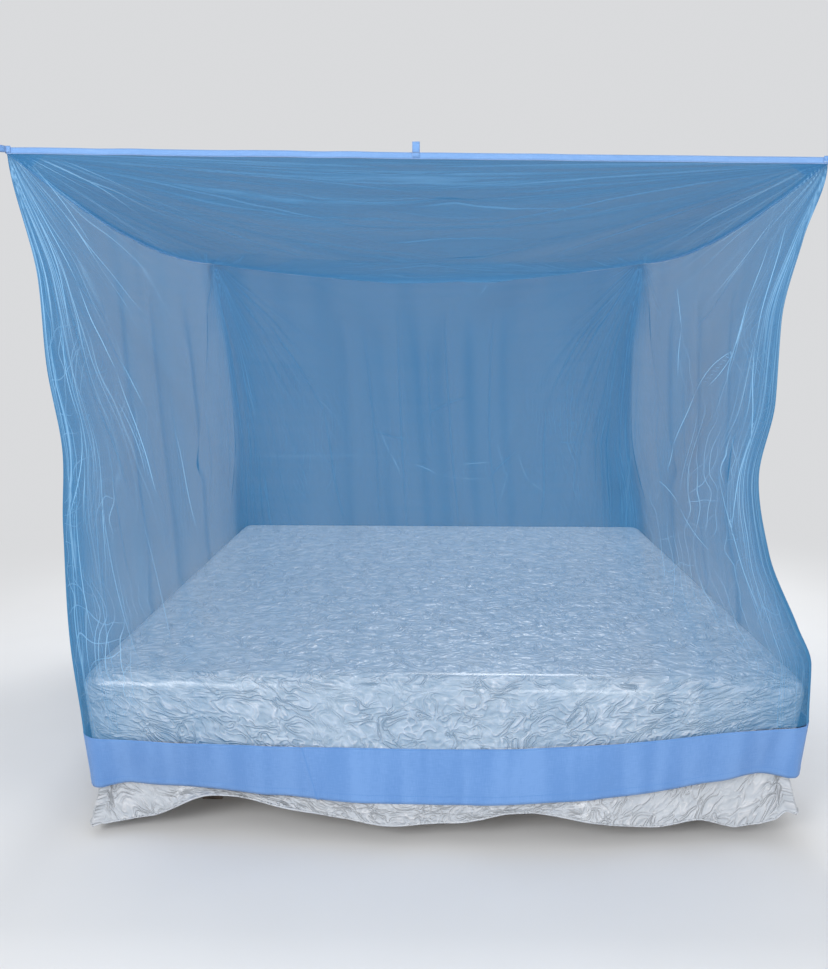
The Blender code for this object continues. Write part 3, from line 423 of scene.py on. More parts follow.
def fold_relief(folds, across, down, wide, tall):
    """Sum of soft ridges and troughs: height times exp(-(distance from the fold's line / half width)^2)."""
    relief = np.zeros(np.broadcast(across, down).shape)
    for across_0, down_0, across_1, down_1, half_width, height in folds:
        line = np.array(((across_1 - across_0) * wide, (down_1 - down_0) * tall))
        dx, dy = (across - across_0) * wide, (down - down_0) * tall
        share = np.clip((dx * line[0] + dy * line[1]) / (line @ line), 0, 1)
        off = (dx - share * line[0]) ** 2 + (dy - share * line[1]) ** 2
        relief = relief + height * np.exp(-off / half_width**2)
    return relief


def crease_marks(creases, across, down, wide, tall):
    """The nearest sharp crease at every point, from its line with a parabolic bow.

    Gives the offset from the line (minus on its left), and its strength, which swells between its ends as a
    power of the parabola 4 t (1 - t), and fades past them and away from it. The line itself is drawn where
    the offset is near 0, as thin as its shader makes it.
    """
    shape = np.broadcast(across, down).shape
    nearest, offset, strength = np.full(shape, 1.0), np.full(shape, 1.0), np.zeros(shape)
    for across_0, down_0, across_1, down_1, bow, amount in creases:
        line = np.array(((across_1 - across_0) * wide, (down_1 - down_0) * tall))
        length = np.linalg.norm(line)
        dx, dy = (across - across_0) * wide, (down - down_0) * tall
        share = (dx * line[0] + dy * line[1]) / length**2
        inside = np.clip(share, 0, 1)
        off = (dx * line[1] - dy * line[0]) / length - 4 * bow * inside * (1 - inside)
        past = np.clip(np.abs(share - 0.5) - 0.5, 0, None) * length
        away = np.hypot(off, past)
        closer = away < nearest
        nearest = np.where(closer, away, nearest)
        offset = np.where(closer, off, offset)
        swell = CREASE_TIP + (1 - CREASE_TIP) * (4 * inside * (1 - inside)) ** CREASE_FULLNESS
        strength = np.where(closer, amount * swell * np.exp(-((past / CREASE_END) ** 2)), strength)
    return offset, strength * (1 - rise_between(CREASE_REACH / 2, CREASE_REACH, nearest))


def soft_patches(patches, across, down):
    """Sum of soft round patches, at most 1: how much times exp(-(offset / reach)^2)."""
    cover = np.zeros(np.broadcast(across, down).shape)
    for centre_across, centre_down, reach_across, reach_down, amount in patches:
        off = ((across - centre_across) / reach_across) ** 2 + ((down - centre_down) / reach_down) ** 2
        cover = cover + amount * np.exp(-off)
    return np.clip(cover, 0, 1)


def uneven(u, v, seed):
    """Smooth unevenness from -1 to 1: seeded heights on a unit lattice, joined by eased steps both ways."""
    heights = np.random.default_rng(seed).uniform(-1, 1, (LATTICE, LATTICE))
    u, v = np.broadcast_arrays(u, v)
    i, j = np.floor(u).astype(int), np.floor(v).astype(int)
    fu, fv = rise_between(0, 1, u - i), rise_between(0, 1, v - j)
    i, j, i_next, j_next = i % LATTICE, j % LATTICE, (i + 1) % LATTICE, (j + 1) % LATTICE
    near = heights[i, j] * (1 - fu) + heights[i_next, j] * fu
    far = heights[i, j_next] * (1 - fu) + heights[i_next, j_next] * fu
    return near * (1 - fv) + far * fv


def wandering(start, u, v, layers, seed=0):
    """A start plus layers of unevenness, each a row of how much, cells along u, cells along v and seed."""
    for amount, cells_u, cells_v, layer_seed in layers:
        start = start + amount * uneven(u * cells_u, v * cells_v, seed + layer_seed)
    return start


def ring_side(side, along, first, last, radius, first_pull, last_pull, push):
    """One side of a rounded rectangle seen from above, at every point of arrays that broadcast together.

    along runs from the middle of one corner's arc, over the straight, to the middle of the next arc. first
    and last are the sharp corners, and push is added outwards. A pull is what is drawn in at a corner, less
    by exp(-(share from it / PULL_REACH)^2) along the side. Gives points and outward normals.
    """
    run = np.array(RUN[side], float)
    out = np.array((run[1], -run[0]))
    start, end = first + first_pull, last + last_pull
    length = (end - start) @ run
    half_arc = radius * math.pi / 4
    whole = length - 2 * radius + 2 * half_arc
    far = along * whole
    turn_0 = np.clip(math.pi / 4 - far / radius, 0, None)
    turn_1 = np.clip(math.pi / 4 - (whole - far) / radius, 0, None)
    straight = np.clip(far - half_arc, 0, length - 2 * radius)
    reach = radius * (1 - np.sin(turn_0)) + straight + radius * np.sin(turn_1)
    dip = radius * (2 - np.cos(turn_0) - np.cos(turn_1))
    share = reach / length
    blend = rise_between(CORNER_SHARE, 1 - CORNER_SHARE, share)
    near_0 = np.exp(-((np.clip(share - CORNER_SHARE, 0, None) / PULL_REACH) ** 2))
    near_1 = np.exp(-((np.clip(1 - CORNER_SHARE - share, 0, None) / PULL_REACH) ** 2))
    level = (first @ out) * (1 - blend) + (last @ out) * blend
    level = level + (first_pull @ out) * near_0 + (last_pull @ out) * near_1
    push = push * rise_between(*FOLD_FROM_END, share) * rise_between(*FOLD_FROM_END, 1 - share)
    level = level - dip + push
    points = (start @ run + reach)[..., None] * run + level[..., None] * out
    turned = np.sin(turn_1) - np.sin(turn_0)
    normals = turned[..., None] * run + np.sqrt(1 - turned**2)[..., None] * out
    return points, normals


def roof_corner(corner):
    """A roof corner seen from above."""
    side = 1 if corner.endswith("right") else -1
    back = corner.startswith("back")
    return np.array((NET_SHIFT_X + side * NET_SPAN_X / 2, NET_FRONT_Y + back * NET_SPAN_Y))


def foot_corner(corner):
    """The sharp corner of the net's ring round the bed."""
    right, back = corner.endswith("right"), corner.startswith("back")
    return np.array((FOOT_RIGHT if right else FOOT_LEFT, FOOT_BACK if back else FOOT_FRONT))


def corner_pull(corner, fall):
    """How far a hanging corner edge is drawn in towards the bed's middle, across and along."""
    inwards = -np.sign(foot_corner(corner))
    pulls = [smooth(CORNER_PULL[corner], fall, n) * inwards[n - 1] for n in (1, 2)]
    return np.stack(pulls, axis=-1)


def edge_height(side, along):
    """Height of the roof's edge: straight between its corners, less a parabola for its sag."""
    first, last = (ROOF_HEIGHT[corner] for corner in ENDS[side])
    return first + (last - first) * along - 4 * EDGE_SAG[side] * along * (1 - along)


def crowded(count, crowding=0.35):
    """Shares from 0 to 1, closer together at both ends: t - crowding sin(2 pi t) / 2 pi."""
    even = np.linspace(0, 1, count + 1)
    return even - crowding * np.sin(2 * math.pi * even) / (2 * math.pi)


def drag_lines(along, drop, seed):
    """Two sets of fine creases drawn out from the nearer top corner, as cell numbers, and their strength.

    Their cells count FAN_CELLS log(1 + angle / FAN_CLOSEST), so they crowd towards the hanging corner edges.
    The second set leans across the first. The last number is the width of a cell in millimetres.
    """
    aside = np.minimum(along, 1 - along) * NET_SPAN_X
    below = FAN_START + drop * FLAT_FALL
    angle, far = np.arctan2(aside, below), np.hypot(aside, below)
    fan = FAN_CELLS * np.log1p(angle / FAN_CLOSEST) + FAN_APART * (along > 0.5)
    first = wandering(fan, fan, far, FAN_WANDER, seed)
    second = wandering(FAN_LEAN[0] * fan + FAN_LEAN[1] * far, fan, far, FAN_LEAN_WANDER, seed)
    strength = 0.60 * np.exp(-((aside / 0.26) ** 2)) + 0.28 * np.exp(-((far / 0.55) ** 2))
    strength = strength * np.clip(wandering(0.45, fan, far, FAN_BREAKS, seed), 0.05, 1.2)
    strength = strength * rise_between(0.0, 0.02, drop) * (1 - 0.5 * rise_between(0.82, 1.0, drop))
    cells = np.stack(np.broadcast_arrays(first, second, np.clip(strength, 0, 1)), axis=-1)
    return cells, FAN_CELL_WIDTH * (angle + FAN_CLOSEST) * far


def web_place(along, fall, crumples, seed):
    """Wavy creases of the crumpled netting as cell numbers, upright and slanting ones, and their strength."""
    wide, tall = along * NET_SPAN_X, fall * FLAT_FALL
    upright = wandering(WEB_UPRIGHT * wide, wide, tall, WEB_UPRIGHT_WANDER, seed)
    slanting = wandering(WEB_SLANT[0] * wide + WEB_SLANT[1] * tall, wide, tall, WEB_SLANT_WANDER, seed)
    broken = np.clip(wandering(0.5, wide, tall, WEB_BREAKS, seed), 0, 1)
    return np.stack(np.broadcast_arrays(upright, slanting, crumples * broken), axis=-1)


def wall_surface(side, along, fall):
    """A netting wall: corners slide from roof to border with the fall, folds are added outwards in plan.

    along is a row of shares and fall a column. Gives points, the plan's normals, and the netting's marks:
    its sharp creases, its drawn-out lines, its web of small creases and its broad tone.
    """
    drop = fall[..., None]
    first, last = (roof_corner(corner) * (1 - drop) + foot_corner(corner) * drop for corner in ENDS[side])
    radius = NET_CORNER_TOP + (NET_CORNER_FOOT - NET_CORNER_TOP) * rise_between(0, CORNER_FULL, fall)
    relief = fold_relief(WALL_FOLDS[side], along, fall, NET_SPAN_X, ROOF_HEIGHT["front_left"])
    relief = relief * rise_between(*FOLD_FROM_ROOF, fall) * rise_between(*FOLD_FROM_FOOT, 1 - fall)
    relief = np.where(relief < 0, relief * rise_between(*TROUGH_FROM_FOOT, 1 - fall), relief)

    seed = 20 + SIDES.index(side)
    offset, strength = crease_marks(WALL_CREASES[side], along, fall, NET_SPAN_X, FLAT_FALL)
    crumples = soft_patches(CRUMPLES[side], along, fall)
    drag, cell_width = drag_lines(along, fall, 200 + 10 * seed)
    ripple = wandering(0, drag[..., 0], fall, WALL_RIPPLES, seed)
    across_cells, leaning_cells, down_cells = CRUMPLE_CELLS
    crumpled = uneven(along * across_cells + leaning_cells * fall, fall * down_cells, seed + 20)
    lower = np.clip(cell_width / RIPPLE_CELL, 0, 1)
    fine = CREASE_HEIGHT * strength * np.exp(-((offset / CREASE_WIDTH) ** 2))
    fine = fine + RIPPLE_HEIGHT * lower * ripple * (RIPPLE_REST + drag[..., 2])
    fine = fine + CRUMPLE_HEIGHT * crumpled * crumples
    fine = fine * rise_between(*FINE_FROM_EDGE, fall) * rise_between(*FINE_FROM_EDGE, 1 - fall)

    pulls = [corner_pull(corner, fall) for corner in ENDS[side]]
    plan, normals = ring_side(side, along, first, last, radius, *pulls, relief + fine)
    top = edge_height(side, along) - TAPE_HEIGHT / 2 - SEAM_GAP
    height = top * (1 - fall) + smooth(SEAM_HEIGHT[side], along) * fall
    marks = {
        "crease": np.stack([offset * 1000, strength, wall_tone(side, along, fall)], axis=-1),
        "drag": drag,
        "web": web_place(along, fall, crumples, 300 + 10 * seed),
        "cell_width": cell_width,
    }
    return np.concatenate([plan, height[..., None]], axis=-1), normals, marks


def wall_tone(side, along, fall):
    """Where the netting is gathered and looks denser: near its hanging edges and in soft upright streaks."""
    from_edge = np.minimum(along, 1 - along)
    tone = EDGE_TONE[side] * np.exp(-((from_edge / EDGE_TONE_REACH) ** 2))
    tone = tone + UNEVEN_TONE * uneven(along * 20, fall * 3, 400 + SIDES.index(side))
    low_down = FOOT_TONE * rise_between(*FOOT_TONE_FROM, fall)
    tone = tone + low_down * np.exp(-((from_edge / FOOT_TONE_REACH) ** 2))
    for centre, half_width, amount in SOFT_STREAKS[side]:
        wander = STREAK_WANDER * uneven(fall * 4 + 50 * centre, 0.0, 410)
        streak = amount * np.exp(-(((along - centre + wander) / half_width) ** 2))
        tone = tone + streak * rise_between(*STREAK_FROM, fall)
    return np.clip(tone, 0, 1)


def border_surface(side, along, down):
    """The border: from the foot of the wall down its own depth at its lean, with its pressed folds."""
    seam, normals, _ = wall_surface(side, along, np.ones((1, 1)))
    lean = np.radians(smooth(BORDER_LEAN[side], along))
    ridge = np.zeros(along.shape)
    for place, centre, half_width, height in BORDER_FOLDS:
        if place == side:
            ridge = ridge + height * np.exp(-(((along - centre) * NET_SPAN_X / half_width) ** 2))
    out = down * (BORDER_DEPTH * np.sin(lean) + ridge)
    plan = seam[..., :2] + normals * out[..., None]
    height = seam[..., 2] - SEAM_GAP - down * BORDER_DEPTH * np.cos(lean)
    return np.concatenate([plan, height[..., None]], axis=-1), normals


def roof_height(across, back):
    """The roof between its four sagging edges: their two-way blend, less its belly, with its wrinkles."""
    front_edge, back_edge = edge_height("front", across), edge_height("back", 1 - across)
    left_edge, right_edge = edge_height("left", 1 - back), edge_height("right", back)
    corners = (
        ROOF_HEIGHT["front_left"] * (1 - across) * (1 - back)
        + ROOF_HEIGHT["front_right"] * across * (1 - back)
        + ROOF_HEIGHT["back_left"] * (1 - across) * back
        + ROOF_HEIGHT["back_right"] * across * back
    )
    height = front_edge * (1 - back) + back_edge * back + left_edge * (1 - across) + right_edge * across
    inside = 16 * across * (1 - across) * back * (1 - back)
    wrinkles = fold_relief(ROOF_FOLDS, across, back, NET_SPAN_X, NET_SPAN_Y)
    wrinkles = wrinkles * np.clip(ROOF_FOLD_RISE * inside, 0, 1)
    return height - corners - ROOF_BELLY * inside + wrinkles - ROOF_SEAM_DROP


def roof_plan(across, back):
    """Place of a share of the roof seen from above."""
    margin = TAPE_THICK / 2 + GAP
    low, high = roof_corner("front_left") + margin, roof_corner("back_right") - margin
    return np.broadcast_arrays(low[0] + (high[0] - low[0]) * across, low[1] + (high[1] - low[1]) * back)


def roof_lines(across, back):
    """The roof's fine creases as cell numbers: in fans out of its corners, and from side to side between.

    A line is back = k (ROOF_GATHER + sin(pi across)), and ROOF_FAN_CELLS log(1 + k / ROOF_FAN_CLOSEST) counts
    them from the nearer edge. The last number is the width of a cell in millimetres.
    """
    bow = np.sin(math.pi * np.clip(across, 0, 1))
    gathered = ROOF_GATHER + bow
    from_edge = np.where(back < 0.5, back, 1 - back) * NET_SPAN_Y / gathered
    fan = ROOF_FAN_CELLS * np.log1p(from_edge / ROOF_FAN_CLOSEST) + ROOF_FAN_APART * (back > 0.5)
    first = wandering(fan, across, fan, ROOF_FAN_WANDER)
    second = wandering(ROOF_FAN_LEAN[0] * fan + ROOF_FAN_LEAN[1] * bow, across, fan, ROOF_FAN_LEAN_WANDER)
    strength = 0.5 + 0.5 * np.exp(-((from_edge / 0.5) ** 2))
    strength = strength * np.clip(wandering(0.55, across, fan, ROOF_FAN_BREAKS), 0, 1)
    strength = strength * rise_between(0, 0.05, np.abs(back - 0.5))
    strength = strength * rise_between(0, 0.01, np.minimum(back, 1 - back))
    strength = ROOF_LINE_STRENGTH * np.clip(strength, 0, 1)
    cell_width = np.clip(ROOF_CELL_WIDTH * (from_edge + ROOF_FAN_CLOSEST) * gathered, ROOF_CELL_LEAST, None)
    return np.stack(np.broadcast_arrays(first, second, strength), axis=-1), cell_width


def spread_ring(side, along, inset):
    """One side of the spread's outline seen from above, this far inside its widest, at every point."""
    widest = np.array((BED_WIDTH / 2 + SPREAD_FULLNESS, BED_LENGTH / 2 + SPREAD_END_FULLNESS))
    half = widest - inset[..., None]
    shift = np.array((SPREAD_SHIFT_X, 0))
    first, last = (half * np.sign(foot_corner(corner)) + shift for corner in ENDS[side])
    radius = np.clip(SPREAD_CORNER - inset, SPREAD_TIGHTEST, None)
    return ring_side(side, along, first, last, radius, np.zeros(2), np.zeros(2), 0)


def spread_surface(side, along, level):
    """The spread on one side of the bed, at every point: flat top, round the edge, down to the waving hem.

    Its plan is a rounded rectangle whose inset shrinks with the level; the innermost ones are scaled copies.
    Its side hangs in straight runs between the levels of HANG_SHARES.
    """
    inner = np.clip(level / SPREAD_RING, 0, 1)
    flat = np.clip((level - SPREAD_RING) / (SPREAD_BEND - SPREAD_RING), 0, 1)
    turn = np.clip((level - SPREAD_BEND) / (SPREAD_SIDE - SPREAD_BEND), 0, 1) * math.pi / 2
    inset = SPREAD_FLAT + (SPREAD_EDGE - SPREAD_FLAT) * flat
    inset = np.where(level > SPREAD_BEND, SPREAD_EDGE * (1 - np.sin(turn)), inset)
    plan, normals = spread_ring(side, along, inset)
    middle = np.array((SPREAD_SHIFT_X, 0))
    plan = middle + (plan - middle) * inner[..., None]

    near = [smooth(BORDER_LEAN[side], along + shift) for shift in (-LEAN_REACH, 0, LEAN_REACH)]
    lean = np.radians(np.min(near, axis=0))
    seam, hem = smooth(SEAM_HEIGHT[side], along), smooth(HEM_HEIGHT[side], along)
    away = rise_between(*HEM_TIGHT, np.abs(along - 0.5)) if side == "front" else 1
    flute = HEM_FLUTE * (np.cos(2 * math.pi * HEM_FLUTES * along) - 1) / 2
    foot = seam - BORDER_DEPTH * np.cos(lean)
    tucked = BORDER_DEPTH * np.sin(lean) - SPREAD_EASE * away
    flared = np.minimum(tucked + HEM_FLARE, HEM_WIDEST) + flute
    outs = (0, -SPREAD_EASE * away, tucked, (tucked + flared) / 2, flared)
    heights = (BED_TOP - SPREAD_EDGE, seam, foot, (foot + hem) / 2, hem)
    hang = np.clip((level - SPREAD_SIDE) / (1 - SPREAD_SIDE), 0, 1)
    out, height = np.zeros(along.shape), BED_TOP - SPREAD_EDGE * (1 - np.cos(turn))
    for n in range(len(HANG_SHARES) - 1):
        low, high = HANG_SHARES[n], HANG_SHARES[n + 1]
        t = (hang - low) / (high - low)
        here = (t > 0) & (t <= 1)
        out = np.where(here, outs[n] + (outs[n + 1] - outs[n]) * t, out)
        height = np.where(here, heights[n] + (heights[n + 1] - heights[n]) * t, height)
    plan = plan + normals * out[..., None]
    return np.concatenate([plan, height[..., None]], axis=-1)


def spread_points():
    """The whole spread on a square grid, each point taken by the side of the bed that it lies towards.

    A point's level is its larger distance from the middle, and its place along the side comes from the
    smaller over the larger. Gives points, levels and flat places on the uncut cloth, from -1 to 1.
    """
    half = SPREAD_CELLS // 2
    back, across = np.meshgrid(np.arange(-half, half + 1), np.arange(-half, half + 1), indexing="ij")
    larger = np.maximum(np.abs(across), np.abs(back))
    level = larger / half
    points = np.zeros((*across.shape, 3))
    turns = {"front": (-back, across), "right": (across, back), "back": (back, -across),
             "left": (-across, -back)}
    for side, (ahead, aside) in turns.items():
        here = (ahead >= np.abs(aside)) & (ahead >= 0)
        along = (aside[here] / np.maximum(larger[here], 1) + 1) / 2
        points[here] = spread_surface(side, along, level[here])
    return points, level, across / half, back / half


def teardrop(length, half_width, root):
    """Path of an eye, as distance out and offset: up one leg, round the end and down the other.

    Distance out is length (1 - cos t) / 2 and the bulge half_width sin t sqrt(|sin(t / 2)|), so it is widest
    past its middle. The legs start root to either side.
    """
    turn = np.linspace(0, 2 * math.pi, EYE_STEPS + 1)
    out = length * (1 - np.cos(turn)) / 2
    bulge = half_width * np.sin(turn) * np.sqrt(np.abs(np.sin(turn / 2)))
    legs = np.where(turn <= math.pi, root, -root) * (1 - out / length)
    return out, bulge + legs


# ---------------------------------------------------------------- meshes

def put_mesh(name, points, corners, uv=None, values=None):
    """A piece from points and the corner numbers of its four-sided faces, with UVs by face corner."""
    mesh = bpy.data.meshes.new(name)
    mesh.vertices.add(len(points))
    mesh.vertices.foreach_set("co", np.ascontiguousarray(points, np.float32).ravel())
    mesh.loops.add(corners.size)
    mesh.loops.foreach_set("vertex_index", corners.ravel().astype(np.int32))
    mesh.polygons.add(len(corners))
    mesh.polygons.foreach_set("loop_start", np.arange(0, corners.size, 4, dtype=np.int32))
    mesh.polygons.foreach_set("use_smooth", np.ones(len(corners), bool))
    mesh.update(calc_edges=True)
    if uv is not None:
        layer = mesh.uv_layers.new(name="cloth")
        layer.data.foreach_set("uv", np.ascontiguousarray(uv, np.float32).ravel())
    for key, value in (values or {}).items():
        kind, field = ("FLOAT", "value") if value.ndim == 1 else ("FLOAT_VECTOR", "vector")
        layer = mesh.attributes.new(key, kind, "POINT")
        layer.data.foreach_set(field, np.ascontiguousarray(value, np.float32).ravel())
    piece = bpy.data.objects.new(name, mesh)
    bpy.context.scene.collection.objects.link(piece)
    return piece


def grid_corners(rows, columns, flip=False):
    """Corner numbers of every cell of a grid of points, turning so that its face looks outwards."""
    index = np.arange(rows * columns).reshape(rows, columns)
    a, b, c, d = index[:-1, :-1], index[1:, :-1], index[1:, 1:], index[:-1, 1:]
    order = (a, d, c, b) if flip else (a, b, c, d)
    return np.stack(order, axis=-1).reshape(-1, 4)


def sheet_piece(name, points, uv, values=None, flip=False, keep=None):
    """An open cloth from a grid of points; keep says which of its cells the cloth has."""
    rows, columns = points.shape[:2]
    corners = grid_corners(rows, columns, flip)
    flat_points, flat_uv = points.reshape(-1, 3), uv.reshape(-1, 2)
    values = {key: value.reshape(rows * columns, *value.shape[2:]) for key, value in (values or {}).items()}
    if keep is not None:
        corners = corners[keep.ravel()]
        used, corners = np.unique(corners, return_inverse=True)
        corners = corners.reshape(-1, 4)
        flat_points, flat_uv = flat_points[used], flat_uv[used]
        values = {key: value[used] for key, value in values.items()}
    return put_mesh(name, flat_points, corners, flat_uv[corners], values)


def thicken(piece, thickness):
    """Gives an open cloth its thickness, half to either side of it."""
    wall = piece.modifiers.new("thickness", "SOLIDIFY")
    wall.thickness = thickness
    wall.offset = 0


def tube_piece(name, rings, lengths, around, closed=False):
    """A solid from sections along a path, capped or joined at its ends.

    rings are (sections, points round, 3), and lengths and around their places on its flat cloth.
    """
    rings = np.concatenate([rings, rings[:, :1]], axis=1)
    if closed:
        rings = np.concatenate([rings, rings[:1]], axis=0)
    sections, count = rings.shape[:2]
    uv = np.stack(np.broadcast_arrays(lengths[:, None], around[None, :]), axis=-1)
    corners = grid_corners(sections, count)
    piece = put_mesh(name, rings.reshape(-1, 3), corners, uv.reshape(-1, 2)[corners])
    shape = bmesh.new()
    shape.from_mesh(piece.data)
    bmesh.ops.remove_doubles(shape, verts=shape.verts, dist=1e-6)
    if not closed:
        bmesh.ops.holes_fill(shape, edges=[edge for edge in shape.edges if edge.is_boundary], sides=0)
    bmesh.ops.recalc_face_normals(shape, faces=shape.faces)
    shape.to_mesh(piece.data)
    shape.free()
    return piece


def rounded_section(half_wide, half_tall, count=20, squareness=0.35):
    """A rounded oblong: the signs of cosine and sine times their sizes to a power below 1."""
    turn = np.linspace(0, 2 * math.pi, count, endpoint=False)
    wide = np.sign(np.cos(turn)) * np.abs(np.cos(turn)) ** squareness * half_wide
    tall = np.sign(np.sin(turn)) * np.abs(np.sin(turn)) ** squareness * half_tall
    return wide, tall


def path_lengths(path):
    """Distance along a path up to each of its points."""
    return np.concatenate([[0], np.cumsum(np.linalg.norm(np.diff(path, axis=0), axis=1))])


def strip_piece(name, path, width_axis, thickness, width):
    """A bent strip: a rounded oblong carried along a path, its width along one axis."""
    step = np.gradient(path, axis=0)
    step /= np.linalg.norm(step, axis=1)[:, None]
    side = np.cross(step, width_axis)
    side /= np.linalg.norm(side, axis=1)[:, None]
    wide, tall = rounded_section(thickness / 2, width / 2)
    rings = path[:, None, :] + wide[None, :, None] * side[:, None, :] + tall[None, :, None] * width_axis
    around = np.linspace(0, 2 * (thickness + width), len(wide) + 1)
    return tube_piece(name, rings, path_lengths(path), around)


# ---------------------------------------------------------------- shading

def feed(tree, node, inputs):
    """Links every input whose value is a socket and sets the others."""
    for key, value in inputs.items():
        if isinstance(value, bpy.types.NodeSocket):
            tree.links.new(value, node.inputs[key])
        else:
            node.inputs[key].default_value = value


def add(tree, kind, inputs, out=0, **settings):
    """A node with its settings and inputs. Gives one of its outputs."""
    node = tree.nodes.new(kind)
    for key, value in settings.items():
        setattr(node, key, value)
    feed(tree, node, inputs)
    return node.outputs[out]


def sums(tree, operation, a, b=0.0):
    """One sum of two numbers."""
    return add(tree, "ShaderNodeMath", {0: a, 1: b}, operation=operation)


def times_plus(tree, value, factor, start):
    """A number times a factor, and a start added to it."""
    return add(tree, "ShaderNodeMath", {0: value, 1: factor, 2: start}, operation="MULTIPLY_ADD")


def soft_step(tree, value, low, high, start=0.0, end=1.0):
    """A smooth step of a number, from start at low to end at high."""
    names = {"Value": value, "From Min": low, "From Max": high, "To Min": start, "To Max": end}
    return add(tree, "ShaderNodeMapRange", names, interpolation_type="SMOOTHSTEP")


def scaled(tree, vector, factors):
    """A vector with its three numbers multiplied."""
    return add(tree, "ShaderNodeVectorMath", {0: vector, 1: factors}, operation="MULTIPLY")


def blended(tree, share, first, second):
    """A colour between two."""
    sockets = {0: share, 6: first, 7: second}
    return add(tree, "ShaderNodeMix", sockets, out=2, data_type="RGBA", clamp_factor=True)


def noise(tree, vector, scale=1.0, detail=2.0, roughness=0.5):
    """Soft noise, from 0 to 1."""
    names = {"Vector": vector, "Scale": scale, "Detail": detail, "Roughness": roughness}
    return add(tree, "ShaderNodeTexNoise", names)


def new_group(name, takes, gives):
    """An empty shader node group with named sockets, its inputs to read and its outputs to feed."""
    tree = bpy.data.node_groups.new(name, "ShaderNodeTree")
    for socket, value in takes.items():
        kind = "NodeSocketVector" if value is None else "NodeSocketFloat"
        made = tree.interface.new_socket(socket, in_out="INPUT", socket_type=kind)
        if value is not None:
            made.default_value = value
    for socket in gives:
        tree.interface.new_socket(socket, in_out="OUTPUT", socket_type="NodeSocketFloat")
    return tree, tree.nodes.new("NodeGroupInput").outputs, tree.nodes.new("NodeGroupOutput").inputs


def use_group(tree, group, **inputs):
    """Places a group in a tree and gives its outputs by name."""
    node = tree.nodes.new("ShaderNodeGroup")
    node.node_tree = group
    feed(tree, node, inputs)
    return node.outputs


def cell_lines(tree, number, width):
    """Thin lines between the cells of one uneven row: 1 on a line, 0 from its width on, in cells."""
    names = {"W": number, "Scale": 1.0}
    edge = add(tree, "ShaderNodeTexVoronoi", names, feature="DISTANCE_TO_EDGE", voronoi_dimensions="1D")
    return add(tree, "ShaderNodeMapRange", {"Value": edge, "From Max": width, "To Min": 1.0, "To Max": 0.0})


def part_of(tree, vector, number):
    """One number of a vector."""
    return add(tree, "ShaderNodeSeparateXYZ", {0: vector}, out=number)


def make_creased_net():
    """Creases of the netting: sharp ones by their offset, fine ones drawn out from the corners, and a web.

    Width and Line are in the same measure as Cell. The drawn-out lines come in two sets and a closer,
    fainter one. Light is the brightest crease at a place, and Soft the halos, the streaks and the broad tone;
    the netting paints its threads paler by both, a painted highlight.
    """
    line_fade = 3.5  # times its core, where a sharp line ends
    halo_reach, halo_share = 9.0, 0.4
    closer_cells, closer_width, closer_share = 2.3, 1.7, 0.45
    streak_cells, streak_from, streak_to, streak_share = 2.4, 0.45, 0.70, 0.6
    upright_width, slanting_width, slanting_share = 0.070, 0.035, 0.7

    takes = {"Crease": None, "Drag": None, "Web": None, "Cell": 30.0, "Width": 1.7, "Line": 0.4}
    tree, given, result = new_group("creased_net", takes, ("Light", "Soft"))
    offset = sums(tree, "ABSOLUTE", part_of(tree, given["Crease"], 0))
    strength = part_of(tree, given["Crease"], 1)
    thin = soft_step(tree, offset, given["Line"], sums(tree, "MULTIPLY", given["Line"], line_fade), 1.0, 0.0)
    sharp = sums(tree, "MULTIPLY", thin, strength)
    halo = sums(tree, "MULTIPLY", soft_step(tree, offset, 0.0, halo_reach, 1.0, 0.0), strength)

    width = sums(tree, "DIVIDE", given["Width"], given["Cell"])
    first, second, drawn = (part_of(tree, given["Drag"], number) for number in range(3))
    lines = sums(tree, "MAXIMUM", cell_lines(tree, first, width), cell_lines(tree, second, width))
    wider = sums(tree, "MULTIPLY", width, closer_width)
    closer = cell_lines(tree, sums(tree, "MULTIPLY", first, closer_cells), wider)
    lines = sums(tree, "MAXIMUM", lines, sums(tree, "MULTIPLY", closer, closer_share))
    lines = sums(tree, "MULTIPLY", lines, drawn)
    names = {"W": first, "Scale": streak_cells, "Detail": 2.0}
    streak = add(tree, "ShaderNodeTexNoise", names, noise_dimensions="1D")
    streak = sums(tree, "MULTIPLY", soft_step(tree, streak, streak_from, streak_to), drawn)

    upright, slanting, crumpled = (part_of(tree, given["Web"], number) for number in range(3))
    web = sums(tree, "MULTIPLY", cell_lines(tree, slanting, slanting_width), slanting_share)
    web = sums(tree, "MAXIMUM", cell_lines(tree, upright, upright_width), web)
    web = sums(tree, "MULTIPLY", web, crumpled)
    light = sums(tree, "MAXIMUM", sharp, sums(tree, "MAXIMUM", lines, web))
    tree.links.new(light, result["Light"])
    streaks = sums(tree, "MULTIPLY", streak, streak_share)
    soft = sums(tree, "ADD", sums(tree, "MULTIPLY", halo, halo_share), streaks)
    tree.links.new(sums(tree, "ADD", soft, part_of(tree, given["Crease"], 2)), result["Soft"])
    return tree


def make_even_mesh():
    """An even mesh of threads: half a wave across and half a wave down, with faint level runs in it."""
    run_cells = (1.4, 150, 0)  # of noise for each metre along and down
    takes = {"Cloth": None, "Pitch": 0.0024}
    tree, given, result = new_group("even_mesh", takes, ("Thread", "Run"))
    turns = sums(tree, "DIVIDE", 2 * math.pi, given["Pitch"])
    weft = sums(tree, "SINE", sums(tree, "MULTIPLY", part_of(tree, given["Cloth"], 0), turns))
    warp = sums(tree, "SINE", sums(tree, "MULTIPLY", part_of(tree, given["Cloth"], 1), turns))
    tree.links.new(times_plus(tree, sums(tree, "ADD", weft, warp), 0.25, 0.5), result["Thread"])
    tree.links.new(noise(tree, scaled(tree, given["Cloth"], run_cells), detail=0.0), result["Run"])
    return tree


